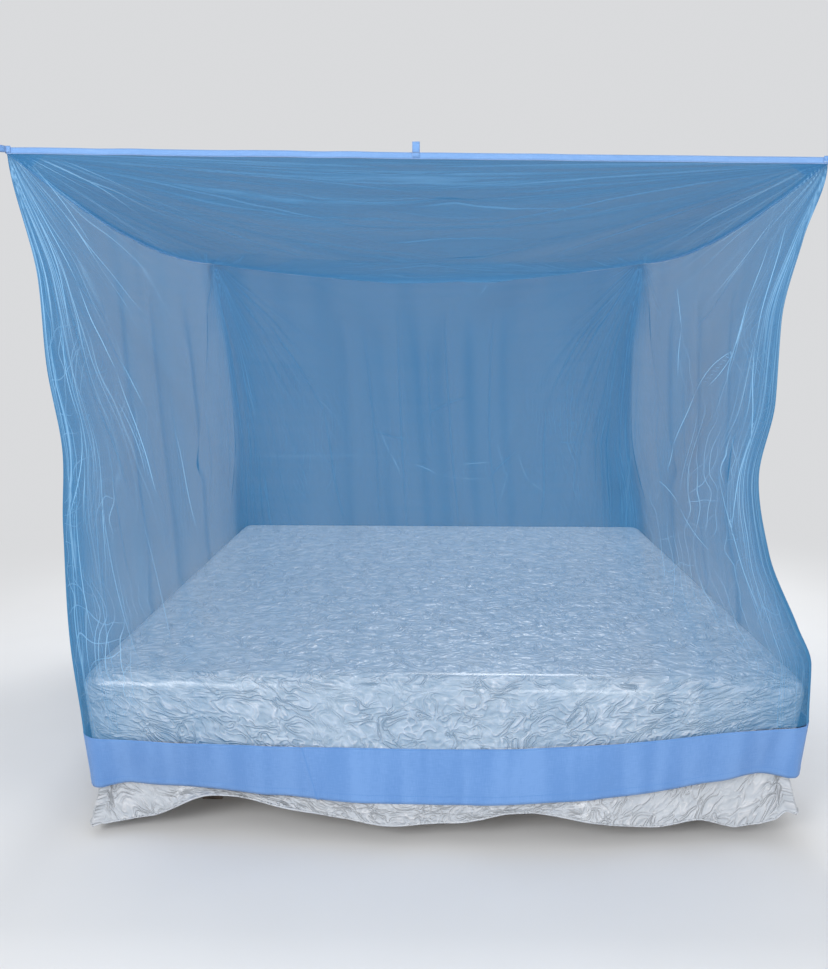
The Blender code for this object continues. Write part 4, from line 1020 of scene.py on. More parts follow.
def make_plain_weave():
    """Plain weave: a wave across times a wave down, with slubs and soft mottling as its tone."""
    weft_slubs, warp_slubs, patches = (40, 420, 1), (420, 40, 1), (7, 5, 1)  # noise cells for each metre
    slub_share, mottle_share = 0.3, 0.4
    takes = {"Cloth": None, "Pitch": 0.0016}
    tree, given, result = new_group("plain_weave", takes, ("Height", "Tone"))
    turns = sums(tree, "DIVIDE", 2 * math.pi, given["Pitch"])
    weft = sums(tree, "SINE", sums(tree, "MULTIPLY", part_of(tree, given["Cloth"], 0), turns))
    warp = sums(tree, "SINE", sums(tree, "MULTIPLY", part_of(tree, given["Cloth"], 1), turns))
    tree.links.new(sums(tree, "MULTIPLY", weft, warp), result["Height"])
    slub = noise(tree, scaled(tree, given["Cloth"], weft_slubs), detail=1.0)
    warp_slub = noise(tree, scaled(tree, given["Cloth"], warp_slubs), detail=1.0)
    slubs = sums(tree, "MULTIPLY", sums(tree, "ADD", slub, warp_slub), slub_share)
    mottle = noise(tree, scaled(tree, given["Cloth"], patches), detail=3.0)
    tone = sums(tree, "ADD", slubs, sums(tree, "MULTIPLY", mottle, mottle_share))
    tree.links.new(tone, result["Tone"])
    return tree


def make_stitch_row():
    """A row of stitches at one distance down the cloth: dashes along it, soft at their ends."""
    thread_half, thread_edge = 0.0004, 0.0011
    takes = {"Cloth": None, "Place": 0.003, "Pitch": 0.0045}
    tree, given, result = new_group("stitch_row", takes, ("Stitch",))
    across, down = (part_of(tree, given["Cloth"], number) for number in range(2))
    off = sums(tree, "ABSOLUTE", sums(tree, "SUBTRACT", down, given["Place"]))
    line = soft_step(tree, off, thread_half, thread_edge, 1.0, 0.0)
    turns = sums(tree, "DIVIDE", 2 * math.pi, given["Pitch"])
    dash = soft_step(tree, sums(tree, "SINE", sums(tree, "MULTIPLY", across, turns)), -0.5, -0.1)
    tree.links.new(sums(tree, "MULTIPLY", line, dash), result["Stitch"])
    return tree


def make_quilting():
    """Quilted satin: curling ridges, the sine of a soft noise, on broad puffs; their tops are marked for a
    painted highlight.
    """
    curl_scale, curl_turns, ridge_height = 16.0, 4.2, 0.44
    puff_scale, puff_height = 30.0, 1.5
    lowest = 0.30  # share of their height that the ridges keep between the taller patches
    takes = {"Cloth": None}
    tree, given, result = new_group("quilting", takes, ("Height", "Top"))
    names = {"Vector": given["Cloth"], "Scale": curl_scale, "Detail": 1.3, "Distortion": 0.9}
    field = add(tree, "ShaderNodeTexNoise", names)
    wave = sums(tree, "SINE", sums(tree, "MULTIPLY", field, 2 * math.pi * curl_turns))
    ridge = sums(tree, "SUBTRACT", 1.0, sums(tree, "ABSOLUTE", wave))
    puff = noise(tree, given["Cloth"], puff_scale, detail=1.4)
    taller = soft_step(tree, noise(tree, given["Cloth"], 8.0, detail=1.0), 0.34, 0.54, lowest, 1.0)
    top = sums(tree, "MULTIPLY", soft_step(tree, ridge, 0.60, 0.95), taller)
    curl = sums(tree, "MULTIPLY", sums(tree, "MULTIPLY", ridge, ridge_height), taller)
    tree.links.new(sums(tree, "ADD", curl, sums(tree, "MULTIPLY", puff, puff_height)), result["Height"])
    tree.links.new(top, result["Top"])
    return tree


def make_wood_grain():
    """Grain of a plank along one axis of the bed: the rings of a stretched noise, with finer pores in it."""
    ring_count, pore_cells = 6.0, (6, 6, 6)
    takes = {"Place": None}
    tree, given, result = new_group("wood_grain", takes, ("Grain", "Pores"))
    broad = noise(tree, given["Place"], 1.0, detail=4.0, roughness=0.6)
    rings = sums(tree, "FRACT", sums(tree, "MULTIPLY", broad, ring_count))
    grain = soft_step(tree, sums(tree, "ABSOLUTE", sums(tree, "SUBTRACT", rings, 0.5)), 0.0, 0.5)
    pores = noise(tree, scaled(tree, given["Place"], pore_cells), detail=2.0)
    tree.links.new(grain, result["Grain"])
    tree.links.new(pores, result["Pores"])
    return tree


def new_material(name, roughness, specular):
    """A material with its Principled shader, whose even values are set on its own sockets."""
    material = bpy.data.materials.new(name)
    material.use_nodes = True
    shader = material.node_tree.nodes["Principled BSDF"]
    shader.inputs["Roughness"].default_value = roughness
    shader.inputs["Specular IOR Level"].default_value = specular
    return material, material.node_tree, shader


def cloth_place(tree):
    """The cloth's own flat place, in metres along and down."""
    return add(tree, "ShaderNodeUVMap", {}, uv_map="cloth")


def object_place(tree):
    """Place in the bed's own axes."""
    return add(tree, "ShaderNodeTexCoord", {}, out="Object")


def mark(tree, name, out="Vector"):
    """One of the marks that a piece carries at its points."""
    return add(tree, "ShaderNodeAttribute", {}, attribute_name=name, out=out)


def weave_tone(tree, weave):
    """The tone of a woven cloth's slubs and mottling, from 0 to 1."""
    return soft_step(tree, weave["Tone"], 0.3, 0.7)


def bump(tree, shader, height, distance, strength):
    """Feeds a height to the shader's normal."""
    names = {"Height": height, "Distance": distance, "Strength": strength}
    tree.links.new(add(tree, "ShaderNodeBump", names), shader.inputs["Normal"])


# Share of the view that the netting's threads cover: the front wall is drawn out flat, the rest hangs closer
NET_DENSITY = {"front": 0.36, "right": 0.68, "back": 0.81, "left": 0.69, "roof": 0.80}
CREASE_COVER, SOFT_COVER, THREAD_COVER, RUN_COVER = 0.24, 0.22, 0.10, 0.06  # what each adds to it
MOST_COVER = 0.96
SHADOW_LOSS = 0.55  # share of the cover that its shadow lacks
WALL_GLOW, ROOF_GLOW = 0.10, 0.62  # how far the soft marks paint the threads paler: painted light
# the patches' cover, and the strength of their painted glow, light given off in their own colour
PATCH_COVER, PATCH_PAINTED_GLOW = 0.72, 0.40
PAINTED_FOLD_CELLS, PAINTED_FOLD_SHADING = (15, 2.2, 1), 0.45  # noise cells for each metre, and how much the folds' painted light and shade change the tone
JOIN_SHADE = 0.55
SKIRT_SHARE = 0.74  # of the skirt's painted shade, a grey, where the spread hangs below the border
SATIN_ROUGH, SKIRT_ROUGHER = (0.34, 0.22), 0.15  # between the ridges and on them, and what the skirt adds
SATIN_COAT, SATIN_PUFF = (0.9, 0.35), (1.0, 0.80)  # coat and height of the quilting, on the top and the skirt
QUILT_HEIGHT = 0.0085

NET_SHADE = (0.026, 0.166, 0.350, 1)
# The paler thread colour painted along creases, halos, streaks and broad tone: a painted highlight
NET_PAINTED_LIGHT = (0.275, 0.530, 0.800, 1)
BORDER_SHADE = (0.113, 0.250, 0.538, 1)
BORDER_BRIGHT = (0.152, 0.302, 0.604, 1)
BORDER_THREAD = (0.090, 0.240, 0.560, 1)
PATCH_SHADE = (0.260, 0.500, 0.920, 1)
PATCH_BRIGHT = (0.340, 0.580, 0.960, 1)
TAPE_SHADE = (0.158, 0.326, 0.651, 1)
TAPE_BRIGHT = (0.205, 0.381, 0.707, 1)
TAPE_EDGE = (0.372, 0.521, 0.800, 1)
TAPE_THREAD = (0.150, 0.310, 0.640, 1)
# The satin painted as shaded in its hollows, lit on its puffs and glinting on its ridge tops; the skirt
# painted grey as shade
SATIN_PAINTED_SHADE = (0.565, 0.635, 0.680, 1)
SATIN_PAINTED_LIGHT = (0.800, 0.850, 0.885, 1)
SATIN_PAINTED_GLINT = (0.985, 0.990, 0.995, 1)
SKIRT_PAINTED_SHADE = (0.320, 0.340, 0.380, 1)
TICKING_SHADE = (0.70, 0.68, 0.63, 1)
TICKING_BRIGHT = (0.84, 0.82, 0.77, 1)
TICKING_STRIPE = (0.42, 0.45, 0.50, 1)
DECK_SHADE = (0.42, 0.28, 0.16, 1)
DECK_BRIGHT = (0.62, 0.46, 0.29, 1)
# Frame wood kept near black, so that what shows of it under the spread's hem reads as shade: painted shade
WOOD_SHADE = (0.050, 0.040, 0.032, 1)
WOOD_BRIGHT = (0.130, 0.100, 0.078, 1)
FLOOR_SHADE = (0.70, 0.705, 0.71, 1)
FLOOR_BRIGHT = (0.74, 0.745, 0.75, 1)
BLACK = (0, 0, 0, 1)


def netting_material(name, density, line=WALL_LINE, glow=WALL_GLOW):
    """Sheer blue netting: see-through between its threads, denser along its creases and painted paler there.

    Its fine threads scatter light onwards, so its shadow is lighter than the threads' own cover.
    """
    material, tree, shader = new_material(name, 0.9, 0.10)
    places = {key.capitalize(): mark(tree, key) for key in ("crease", "drag", "web")}
    cell = mark(tree, "cell_width", "Fac")
    creased = use_group(tree, CREASED_NET, Cell=cell, Width=line[0], Line=line[1], **places)
    mesh = use_group(tree, EVEN_MESH, Cloth=cloth_place(tree))
    light, soft = creased["Light"], creased["Soft"]
    # Painted light: the threads are painted paler along the creases and the soft tone
    bright = soft_step(tree, times_plus(tree, soft, glow, light), -0.1, 1.1)
    tree.links.new(blended(tree, bright, NET_SHADE, NET_PAINTED_LIGHT), shader.inputs["Base Color"])
    cover = times_plus(tree, light, CREASE_COVER, density - THREAD_COVER / 2 - RUN_COVER / 2)
    cover = times_plus(tree, soft, SOFT_COVER, cover)
    cover = times_plus(tree, mesh["Thread"], THREAD_COVER, cover)
    cover = times_plus(tree, mesh["Run"], RUN_COVER, cover)
    shadow = add(tree, "ShaderNodeLightPath", {}, out="Is Shadow Ray")
    kept = times_plus(tree, shadow, -SHADOW_LOSS, 1.0)
    cover = sums(tree, "MULTIPLY", add(tree, "ShaderNodeClamp", {0: cover, 1: 0.0, 2: MOST_COVER}), kept)
    tree.links.new(cover, shader.inputs["Alpha"])
    return material


def patch_material():
    """The corner patches' thin cloth, a little sheer, with a painted glow: it gives off light in its own
    colour.
    """
    material, tree, shader = new_material("corner_patch_blue", 0.8, 0.2)
    weave = use_group(tree, PLAIN_WEAVE, Cloth=cloth_place(tree))
    colour = blended(tree, weave_tone(tree, weave), PATCH_SHADE, PATCH_BRIGHT)
    tree.links.new(colour, shader.inputs["Base Color"])
    # Painted glow: the patch gives off light in its own colour, though it is no lamp
    tree.links.new(colour, shader.inputs["Emission Color"])
    shader.inputs["Emission Strength"].default_value = PATCH_PAINTED_GLOW
    tree.links.new(times_plus(tree, weave["Height"], 0.05, PATCH_COVER), shader.inputs["Alpha"])
    bump(tree, shader, weave["Height"], 0.0004, 0.6)
    return material


def border_material():
    """Plain blue border cloth, woven, with a row of stitches under its seam and one over its hem.

    Broad soft bands of painted light and shade stand for folds pressed into it, and the join in the front
    length is a darker line.
    """
    material, tree, shader = new_material("border_cloth_blue", 0.8, 0.25)
    cloth = cloth_place(tree)
    weave = use_group(tree, PLAIN_WEAVE, Cloth=cloth)
    seam = use_group(tree, STITCH_ROW, Cloth=cloth, Place=0.004)["Stitch"]
    hem = use_group(tree, STITCH_ROW, Cloth=cloth, Place=BORDER_DEPTH - HEM_FOLD)["Stitch"]
    along, down = part_of(tree, cloth, 0), part_of(tree, cloth, 1)
    slant = times_plus(tree, down, -JOIN_SLANT * CUT / BORDER_DEPTH, along)
    off = sums(tree, "ABSOLUTE", sums(tree, "SUBTRACT", slant, JOIN_PLACE * CUT))
    join = soft_step(tree, off, 0.0008, 0.0028, JOIN_SHADE, 0.0)
    stitches = sums(tree, "MAXIMUM", join, sums(tree, "MAXIMUM", seam, hem))
    # Painted light and shade for the pressed folds: broad lighter and darker bands of noise
    pressed = noise(tree, scaled(tree, cloth, PAINTED_FOLD_CELLS), detail=1.5)
    pressed = soft_step(tree, pressed, 0.32, 0.68, -PAINTED_FOLD_SHADING, PAINTED_FOLD_SHADING)
    tone = sums(tree, "ADD", weave_tone(tree, weave), pressed)
    colour = blended(tree, tone, BORDER_SHADE, BORDER_BRIGHT)
    tree.links.new(blended(tree, stitches, colour, BORDER_THREAD), shader.inputs["Base Color"])
    shader.inputs["Sheen Weight"].default_value = 0.15
    height = sums(tree, "SUBTRACT", sums(tree, "MULTIPLY", weave["Height"], 0.3), stitches)
    bump(tree, shader, height, 0.0006, 0.8)
    return material


def tape_material():
    """Light blue woven tape, a finer weave with a paler selvage and one row of stitches."""
    material, tree, shader = new_material("edge_tape_blue", 0.6, 0.35)
    cloth = cloth_place(tree)
    weave = use_group(tree, PLAIN_WEAVE, Cloth=cloth, Pitch=0.0022)
    stitches = use_group(tree, STITCH_ROW, Cloth=cloth, Place=TAPE_STITCH, Pitch=0.0040)["Stitch"]
    colour = blended(tree, weave_tone(tree, weave), TAPE_SHADE, TAPE_BRIGHT)
    place = part_of(tree, cloth, 1)
    selvage = sums(tree, "MULTIPLY", soft_step(tree, place, *TAPE_SELVAGE[:2]),
                   soft_step(tree, place, *TAPE_SELVAGE[2:], 1.0, 0.0))
    colour = blended(tree, selvage, colour, TAPE_EDGE)
    tree.links.new(blended(tree, stitches, colour, TAPE_THREAD), shader.inputs["Base Color"])
    shader.inputs["Sheen Weight"].default_value = 0.2
    height = sums(tree, "SUBTRACT", sums(tree, "MULTIPLY", weave["Height"], 0.5), stitches)
    bump(tree, shader, height, 0.0008, 0.8)
    return material


def satin_material():
    """Quilted off-white satin, glossy on its ridges, duller, flatter and painted grey as shade below the
    border.
    """
    material, tree, shader = new_material("spread_satin_white", 0.30, 0.7)
    quilted = use_group(tree, QUILTING, Cloth=cloth_place(tree))
    skirt = mark(tree, "skirt", "Fac")
    # Painted shade in the quilting's hollows, painted light on its puffs and a painted highlight on its ridge
    # tops
    colour = blended(tree, soft_step(tree, quilted["Height"], 0.5, 1.2), SATIN_PAINTED_SHADE, SATIN_PAINTED_LIGHT)
    colour = blended(tree, quilted["Top"], colour, SATIN_PAINTED_GLINT)
    # Painted shade: the skirt is painted grey where the spread hangs below the border
    colour = blended(tree, sums(tree, "MULTIPLY", skirt, SKIRT_SHARE), colour, SKIRT_PAINTED_SHADE)
    tree.links.new(colour, shader.inputs["Base Color"])
    rough = soft_step(tree, quilted["Top"], 0.0, 1.0, *SATIN_ROUGH)
    rough = sums(tree, "ADD", rough, sums(tree, "MULTIPLY", skirt, SKIRT_ROUGHER))
    tree.links.new(rough, shader.inputs["Roughness"])
    tree.links.new(soft_step(tree, skirt, 0.0, 1.0, *SATIN_COAT), shader.inputs["Coat Weight"])
    shader.inputs["Sheen Weight"].default_value = 0.25
    shader.inputs["Coat Roughness"].default_value = 0.24
    shader.inputs["Coat IOR"].default_value = 1.6
    flatter = soft_step(tree, skirt, 0.0, 1.0, *SATIN_PUFF)
    bump(tree, shader, sums(tree, "MULTIPLY", quilted["Height"], flatter), QUILT_HEIGHT, 1.0)
    return material


def ticking_material():
    """Striped mattress ticking: a woven cream ground with grey stripes."""
    stripe_pitch, stripe_share = 0.045, 0.7
    material, tree, shader = new_material("mattress_ticking", 0.85, 0.2)
    place = object_place(tree)
    weave = use_group(tree, PLAIN_WEAVE, Cloth=place, Pitch=0.003)
    wave = sums(tree, "SINE", sums(tree, "MULTIPLY", part_of(tree, place, 0), 2 * math.pi / stripe_pitch))
    stripes = sums(tree, "MULTIPLY", soft_step(tree, wave, 0.75, 0.9), stripe_share)
    ground = blended(tree, weave["Tone"], TICKING_SHADE, TICKING_BRIGHT)
    tree.links.new(blended(tree, stripes, ground, TICKING_STRIPE), shader.inputs["Base Color"])
    bump(tree, shader, weave["Height"], 0.0006, 0.7)
    return material


def wood_material(name, stretch, shade, bright):
    """Varnished wood with its grain stretched along the piece."""
    grain_share, pore_share = 0.7, 0.3
    material, tree, shader = new_material(name, 0.45, 0.5)
    grain = use_group(tree, WOOD_GRAIN, Place=scaled(tree, object_place(tree), stretch))
    tone = sums(tree, "MULTIPLY", grain["Grain"], grain_share)
    tone = sums(tree, "ADD", tone, sums(tree, "MULTIPLY", grain["Pores"], pore_share))
    tree.links.new(blended(tree, tone, shade, bright), shader.inputs["Base Color"])
    tree.links.new(soft_step(tree, grain["Pores"], 0.3, 0.7, 0.38, 0.55), shader.inputs["Roughness"])
    bump(tree, shader, grain["Pores"], 0.0005, 0.5)
    return material


# ---------------------------------------------------------------- pieces of the net

CREASED_NET = make_creased_net()
EVEN_MESH = make_even_mesh()
PLAIN_WEAVE = make_plain_weave()
STITCH_ROW = make_stitch_row()
QUILTING = make_quilting()
WOOD_GRAIN = make_wood_grain()


def dress(piece, material, slot, *replaced):
    """Gives a piece its material and its place in the frame."""
    piece.data.materials.append(material)
    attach(piece, "root")
    if replaced:
        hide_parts(*replaced)


def make_walls():
    """Four netting walls, which meet at the net's hanging corner edges."""
    fall = np.linspace(0, 1, WALL_ROWS + 1)[:, None]
    for side in SIDES:
        material = netting_material(f"netting_blue_{side}", NET_DENSITY[side])
        along = crowded(WALL_COLUMNS[side])[None, :]
        points, _, marks = wall_surface(side, along, fall)
        uv = np.stack(np.broadcast_arrays(along * CUT, fall * FLAT_FALL), axis=-1)
        wall = sheet_piece(f"netting_wall_{side}", points, uv, marks)
        dress(wall, material, "netting", f"net_wall_{side}")


def make_roof():
    """The netting roof, sagging between its taped edges."""
    across = np.linspace(0, 1, ROOF_COLUMNS + 1)[None, :]
    back = np.linspace(0, 1, ROOF_ROWS + 1)[:, None] ** ROOF_CROWDING
    offset, strength = crease_marks(ROOF_CREASES, across, back, NET_SPAN_X, NET_SPAN_Y)
    x, y = roof_plan(across, back)
    lines, cell_width = roof_lines(across, back)
    cells, drawn = lines[..., 0], lines[..., 2]
    ripple = wandering(0, across, cells, ROOF_RIPPLES)
    ripple = ripple - ROOF_SHARPNESS * np.abs(uneven(across * 8 + ripple, back * 21 + 2.5 * across, 64))
    inside = np.clip(40 * across * (1 - across) * back * (1 - back), 0, 1)
    ridge = CREASE_HEIGHT * strength * np.exp(-((offset / CREASE_WIDTH) ** 2))
    relief = ridge + ROOF_RIPPLE * ripple * (ROOF_RIPPLE_REST + (1 - ROOF_RIPPLE_REST) * drawn)
    height = roof_height(across, back) + inside * relief
    # The tone rises over the roof's back half: it thickens the cover there and paints the threads paler, a
    # painted light
    tone = wandering(0.15, across, cells, ROOF_TONES) + 0.65 * rise_between(0.42, 0.75, back)
    web = np.broadcast_arrays(across * 9 + 2 * ripple, back * 34 + 1.5 * ripple, ROOF_WEB_STRENGTH * drawn)
    marks = {
        "crease": np.stack([offset * 1000, strength, np.clip(tone, 0, 1)], axis=-1),
        "drag": lines,
        "web": np.stack(web, axis=-1),
        "cell_width": cell_width,
    }
    uv = np.stack(np.broadcast_arrays(across * CUT, back * CUT), axis=-1)
    roof = sheet_piece("netting_roof", np.stack([x, y, height], axis=-1), uv, marks, flip=True)
    material = netting_material("netting_blue_roof", NET_DENSITY["roof"], ROOF_LINE, ROOF_GLOW)
    dress(roof, material, "netting", "net_roof")


def make_patches(material):
    """A triangle of border cloth on each roof corner: the half of a small grid that is nearer the corner."""
    share, cell = np.linspace(0, 1, PATCH_CELLS + 1), np.arange(PATCH_CELLS)
    near_across, near_back = share[None, :] * PATCH_ACROSS, share[:, None] * PATCH_BACK
    keep = (cell[None, :] + cell[:, None]) < PATCH_CELLS
    unevenness = PATCH_UNEVEN * uneven(300 * near_across, 300 * near_back, 71)
    uv = np.stack(np.broadcast_arrays(near_across * CUT, near_back * CUT + 0.03), axis=-1)
    for corner in ROOF_HEIGHT:
        right, back_corner = corner.endswith("right"), corner.startswith("back")
        across = 1 - near_across if right else near_across
        back = 1 - near_back if back_corner else near_back
        x, y = roof_plan(across, back)
        points = np.stack([x, y, roof_height(across, back) + PATCH_LIFT + unevenness], axis=-1)
        patch = sheet_piece(f"corner_patch_{corner}", points, uv, flip=right == back_corner, keep=keep)
        thicken(patch, PATCH_THICK)
        dress(patch, material, "border_cloth", f"patch_{corner}")


def make_border(material):
    """The plain border, a length for each side, its hem folded up and stitched.

    To its surface are added, outwards, a step over its hem, a fine unevenness, soft upright waves and, in
    front, a bump for its join.
    """
    down = np.linspace(0, 1, BORDER_ROWS + 1)[:, None]
    along = crowded(BORDER_COLUMNS, 0.2)[None, :]
    uv = np.stack(np.broadcast_arrays(along * CUT, down * BORDER_DEPTH), axis=-1)
    hem = HEM_STEP * rise_between(*HEM_EDGE, down * BORDER_DEPTH - (BORDER_DEPTH - HEM_FOLD))
    for number, side in enumerate(SIDES):
        points, normals = border_surface(side, along, down)
        soft = BORDER_UNEVEN * uneven(along * 34, down * 1.4, 80 + number) * rise_between(0, 0.4, down)
        soft = soft + BORDER_WAVE * np.clip(uneven(along * 15 + 0.5 * down, 0.0, 85 + number), 0, 1) ** 2
        out = hem + np.clip(soft, 0, None)
        if side == "front":
            off = (along - JOIN_PLACE - JOIN_SLANT * down) * CUT
            out = out + JOIN_RISE * np.exp(-((off / JOIN_WIDTH) ** 2))
        plan = points[..., :2] + normals * out[..., None]
        points = np.concatenate([plan, points[..., 2:]], axis=-1)
        border = sheet_piece(f"border_cloth_{side}", points, uv)
        thicken(border, BORDER_SHEET)
        dress(border, material, "border_cloth", f"border_{side}")


def make_tapes(material):
    """The woven tape over the roof's seam: a rounded section carried along each edge, slightly wavy."""
    along = crowded(TAPE_SECTIONS, 0.2)
    wide, tall = rounded_section(TAPE_THICK / 2, TAPE_HEIGHT / 2, 18, 0.4)
    around = np.linspace(0, 2 * (TAPE_THICK + TAPE_HEIGHT), len(wide) + 1)
    still = rise_between(0, 0.02, along) * rise_between(0, 0.02, 1 - along)
    for number, side in enumerate(SIDES):
        first, last = (roof_corner(corner) for corner in ENDS[side])
        run = np.array(RUN[side], float)
        out = np.array((run[1], -run[0], 0))
        reach = TAPE_THICK / 2 if side in ("front", "back") else -TAPE_THICK / 2 - GAP
        plan = first + (last - first) * along[:, None]
        plan[0] -= run * reach
        plan[-1] += run * reach
        wave = TAPE_WAVE * still * uneven(along * 26, 0.0, 90 + number)
        path = np.column_stack([plan, edge_height(side, along) + wave])
        rings = path[:, None, :] + wide[None, :, None] * out + tall[None, :, None] * UPWARDS
        tilt = TAPE_TILT * still * uneven(along * 40, 0.0, 95 + number)
        rings = rings + (tilt[:, None] * tall[None, :] / (TAPE_HEIGHT / 2))[..., None] * out
        tape = tube_piece(f"binding_tape_{side}", rings, path_lengths(path), around)
        dress(tape, material, "edge_tape", f"tape_{side}")


def make_loops(material):
    """A hanging loop at each corner, standing on edge, and one over the middle of the front."""
    leg_off = TAPE_THICK / 2 + GAP + LOOP_THICK / 2
    for corner in ROOF_HEIGHT:
        outwards = np.sign(foot_corner(corner))
        out, aside = teardrop(LOOP_REACH, LOOP_HALF_EYE, LOOP_THICK)
        eye = np.column_stack([out - aside, out + aside]) / math.sqrt(2) + leg_off
        leg = np.array(((-LOOP_LEG, leg_off), (-LOOP_LEG / 2, leg_off)))
        plan = np.concatenate([leg, eye, leg[::-1, ::-1]]) * outwards + roof_corner(corner)
        path = np.column_stack([plan, np.full(len(plan), ROOF_HEIGHT[corner] + LOOP_RAISE)])
        loop = strip_piece(f"hanging_loop_{corner}", path, UPWARDS, LOOP_THICK, LOOP_WIDTH)
        dress(loop, material, "edge_tape", f"loop_{corner}")
    out, aside = teardrop(MIDDLE_LOOP_TOP - TAPE_HEIGHT / 2, LOOP_HALF_EYE, leg_off)
    eye = np.column_stack([-aside, out + TAPE_HEIGHT / 2])
    front_leg = [(-leg_off, share * TAPE_HEIGHT) for share in MIDDLE_LEG_FRONT]
    back_leg = [(leg_off, share * TAPE_HEIGHT) for share in MIDDLE_LEG_BACK]
    section = np.concatenate([front_leg, eye, back_leg])
    edge = (MIDDLE_LOOP_X, NET_FRONT_Y, edge_height("front", 0.5))
    path = np.column_stack([np.zeros(len(section)), section]) + edge
    loop = strip_piece("hanging_loop_front_middle", path, SIDEWAYS, LOOP_THICK, MIDDLE_LOOP_WIDTH)
    dress(loop, material, "edge_tape", "loop_front_middle")


# ---------------------------------------------------------------- pieces of the bed

def hem_binding(rim):
    """The roll that binds the spread's hem: a circle carried round its rim, all of it in the skirt's grey,
    its painted shade.
    """
    step = np.roll(rim, -1, axis=0) - np.roll(rim, 1, axis=0)
    step /= np.linalg.norm(step, axis=1)[:, None]
    side = np.cross(step, UPWARDS)
    side /= np.linalg.norm(side, axis=1)[:, None]
    lift = np.cross(side, step)
    turn = np.linspace(0, 2 * math.pi, 10, endpoint=False)
    circle = np.cos(turn)[None, :, None] * side[:, None] + np.sin(turn)[None, :, None] * lift[:, None]
    lengths = path_lengths(rim)
    lengths = np.append(lengths, lengths[-1] + 0.01)
    around = np.linspace(0, 2 * math.pi * HEM_ROLL, len(turn) + 1)
    roll = tube_piece("spread_hem_binding", rim[:, None] + HEM_ROLL * circle, lengths, around, closed=True)
    layer = roll.data.attributes.new("skirt", "FLOAT", "POINT")
    layer.data.foreach_set("value", np.ones(len(roll.data.vertices), np.float32))
    return roll


def make_spread(material):
    """The quilted spread, one sheet from its middle to its hem, which is bound with a narrow roll."""
    points, level, across_share, back_share = spread_points()
    across, back = across_share * SPREAD_CUT[0] / 2, back_share * SPREAD_CUT[1] / 2
    pucker = wandering(0, across, back, PUCKERS)
    depth = -PUCKER_DEPTH * (0.5 + 0.3 * pucker) * rise_between(*PUCKER_FROM, level)
    depth = depth + PUFF_RISE * (0.5 + 0.35 * pucker) * (1 - rise_between(*PUFF_UNTIL, level))
    hang = np.clip((level - SPREAD_SIDE) / (1 - SPREAD_SIDE), 0, 1)
    normal = np.cross(np.gradient(points, axis=1), np.gradient(points, axis=0))
    normal /= np.linalg.norm(normal, axis=-1)[..., None] + 1e-9
    points = points + normal * depth[..., None]
    uv = np.stack([across, back], axis=-1)
    spread = sheet_piece("quilted_spread", points, uv, {"skirt": rise_between(*SKIRT_FROM, hang)}, flip=True)
    dress(spread, material, "satin", "bedspread")
    roll = hem_binding(np.concatenate([points[0, :-1], points[:-1, -1], points[-1, :0:-1], points[:0:-1, 0]]))
    dress(roll, material, "satin")


# Half the mattress's section, from the middle of its foot to half its height: rise, inset from its sides
MATTRESS_PROFILE = ((0, 0.86), (0, 0.5), (0, 0.2), (0, 0.05), (0.006, 0.014), (0.016, 0.001), (0.022, 0.008),
                    (0.028, 0.010), (0.050, 0.004), (0.075, 0.002))


def make_mattress():
    """The mattress: a rounded oblong whose sides bulge between two piped edges, alike up and down."""
    foot = BED_TOP - SPREAD_THICK - 2 * GAP - MATTRESS_DEPTH
    half_wide, half_long = BED_WIDTH / 2 - MATTRESS_INSET, BED_LENGTH / 2 - MATTRESS_INSET
    rise, inset = np.array(MATTRESS_PROFILE).T
    rise, inset = np.append(rise, MATTRESS_DEPTH - rise[-2::-1]), np.append(inset, inset[-2::-1])
    across, back = rounded_section(1, 1, 160, MATTRESS_SQUARENESS)
    rings = np.stack(np.broadcast_arrays(
        across[None, :] * (half_wide - inset[:, None]),
        back[None, :] * (half_long - inset[:, None]),
        (foot + rise)[:, None]), axis=-1)
    lengths, around = np.linspace(0, 1, len(rise)), np.linspace(0, 1, len(across) + 1)
    mattress = tube_piece("mattress_pad", rings, lengths, around)
    dress(mattress, ticking_material(), "ticking", "mattress")


def finish_bed_frame():
    """Wood on the bed's deck, rails and legs, with fewer cells of noise for each metre along the grain."""
    grains = {
        "deck": wood_material("deck_plywood", (2, 14, 14), DECK_SHADE, DECK_BRIGHT),
        "end": wood_material("frame_wood_across", (1.6, 16, 16), WOOD_SHADE, WOOD_BRIGHT),
        "side": wood_material("frame_wood_along", (16, 1.6, 16), WOOD_SHADE, WOOD_BRIGHT),
        "leg": wood_material("frame_wood_upright", (16, 16, 1.6), WOOD_SHADE, WOOD_BRIGHT),
    }
    use = {"bed_deck": "deck", "rail_foot": "end", "rail_head": "end", "rail_left": "side",
           "rail_right": "side"}
    for name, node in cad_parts.items():
        if name in use or name.startswith("leg_"):
            node.data.materials.clear()
            node.data.materials.append(grains[use.get(name, "leg")])


# ---------------------------------------------------------------- floor, light and camera

SURROUND, SURROUND_LIGHT = (0.97, 0.98, 1.0, 1), 0.72
FLOOR_REACH = 14
FLOOR_BLEND = (1.3, 4.0)  # from the middle of the bed, where the floor turns into the surround


def make_floor():
    """A plain pale floor, which takes the surround's own brightness as it runs away from the bed."""
    points = FLOOR_REACH * np.array(((-1, -1, 0), (1, -1, 0), (1, 1, 0), (-1, 1, 0)), float)
    floor = put_mesh("pale_floor", points, np.array(((0, 1, 2, 3),)))
    material, tree, shader = new_material("floor_pale", 0.9, 0.0)
    place = object_place(tree)
    away = add(tree, "ShaderNodeVectorMath", {0: place}, out="Value", operation="LENGTH")
    far = soft_step(tree, away, *FLOOR_BLEND)
    pale = blended(tree, noise(tree, place, 3.0), FLOOR_SHADE, FLOOR_BRIGHT)
    tree.links.new(blended(tree, far, pale, BLACK), shader.inputs["Base Color"])
    tree.links.new(blended(tree, far, BLACK, SURROUND), shader.inputs["Emission Color"])
    shader.inputs["Emission Strength"].default_value = SURROUND_LIGHT
    floor.data.materials.append(material)


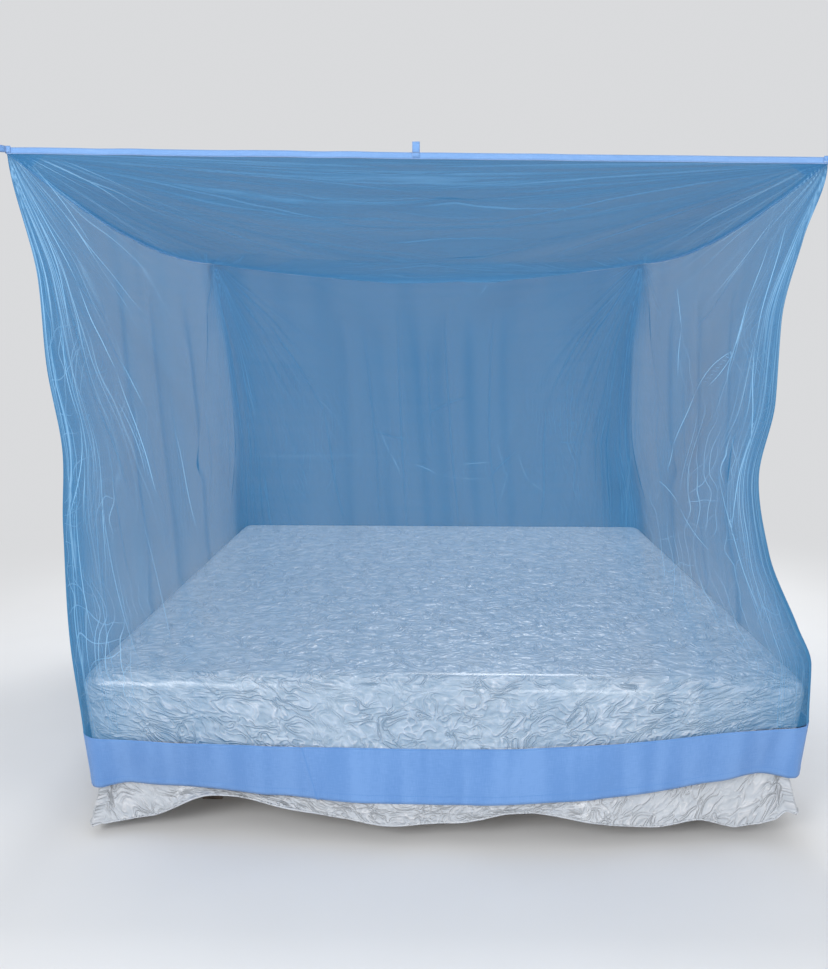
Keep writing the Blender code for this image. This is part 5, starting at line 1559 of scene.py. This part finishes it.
def aim(lamp, place, target):
    """Puts a lamp at a place and turns it to a target."""
    lamp.location = place
    direction = np.array(target, float) - np.array(place, float)
    tilt = math.atan2(math.hypot(direction[0], direction[1]), -direction[2])
    lamp.rotation_euler = (tilt, 0, math.atan2(direction[1], direction[0]) - math.pi / 2)


# Square soft lights: name, place, target, size, power
LIGHTS = (
    ("key_softbox", (-2.4, -5.0, 2.9), (0, -0.6, 0.7), 1.6, 130),
    ("fill_softbox", (3.4, -4.0, 2.4), (0, 0, 0.8), 2.4, 35),
    ("top_softbox", (0.5, 2.6, 3.9), (0, -0.2, 0.5), 1.2, 130),
    ("low_softbox", (0.9, -4.8, 1.2), (0, -1.0, 0.45), 0.9, 38),
)


def make_light():
    """The soft lights round the bed and an even pale surround."""
    for name, place, target, size, power in LIGHTS:
        data = bpy.data.lights.new(name, "AREA")
        data.shape = "SQUARE"
        data.size = size
        data.energy = power
        lamp = bpy.data.objects.new(name, data)
        bpy.context.scene.collection.objects.link(lamp)
        aim(lamp, place, target)
    world = bpy.data.worlds.new("pale_surround")
    world.use_nodes = True
    ground = world.node_tree.nodes["Background"]
    ground.inputs["Color"].default_value = SURROUND
    ground.inputs["Strength"].default_value = SURROUND_LIGHT
    bpy.context.scene.world = world


CAMERA_PLACE = (-0.018, -3.256, 1.327)
CAMERA_DIP, CAMERA_TURN = 8.8, 1.64  # in degrees, below level and to the left of straight ahead
CAMERA_LENS, CAMERA_SENSOR = 33.4, 36  # in millimetres


def make_camera():
    """The camera in front of the bed's foot, looking a little down."""
    data = bpy.data.cameras.new("front_camera")
    data.lens = CAMERA_LENS
    data.sensor_width = CAMERA_SENSOR
    camera = bpy.data.objects.new("front_camera", data)
    camera.location = CAMERA_PLACE
    camera.rotation_euler = (math.radians(90 - CAMERA_DIP), 0, math.radians(CAMERA_TURN))
    bpy.context.scene.collection.objects.link(camera)
    bpy.context.scene.camera = camera


bpy.context.scene.view_settings.view_transform = "Standard"
make_camera()
make_light()
make_floor()
make_walls()
make_roof()
blue_cloth, blue_tape = border_material(), tape_material()
make_border(blue_cloth)
make_patches(patch_material())
make_tapes(blue_tape)
make_loops(blue_tape)
make_spread(satin_material())
make_mattress()
finish_bed_frame()

bpy.context.view_layer.update()
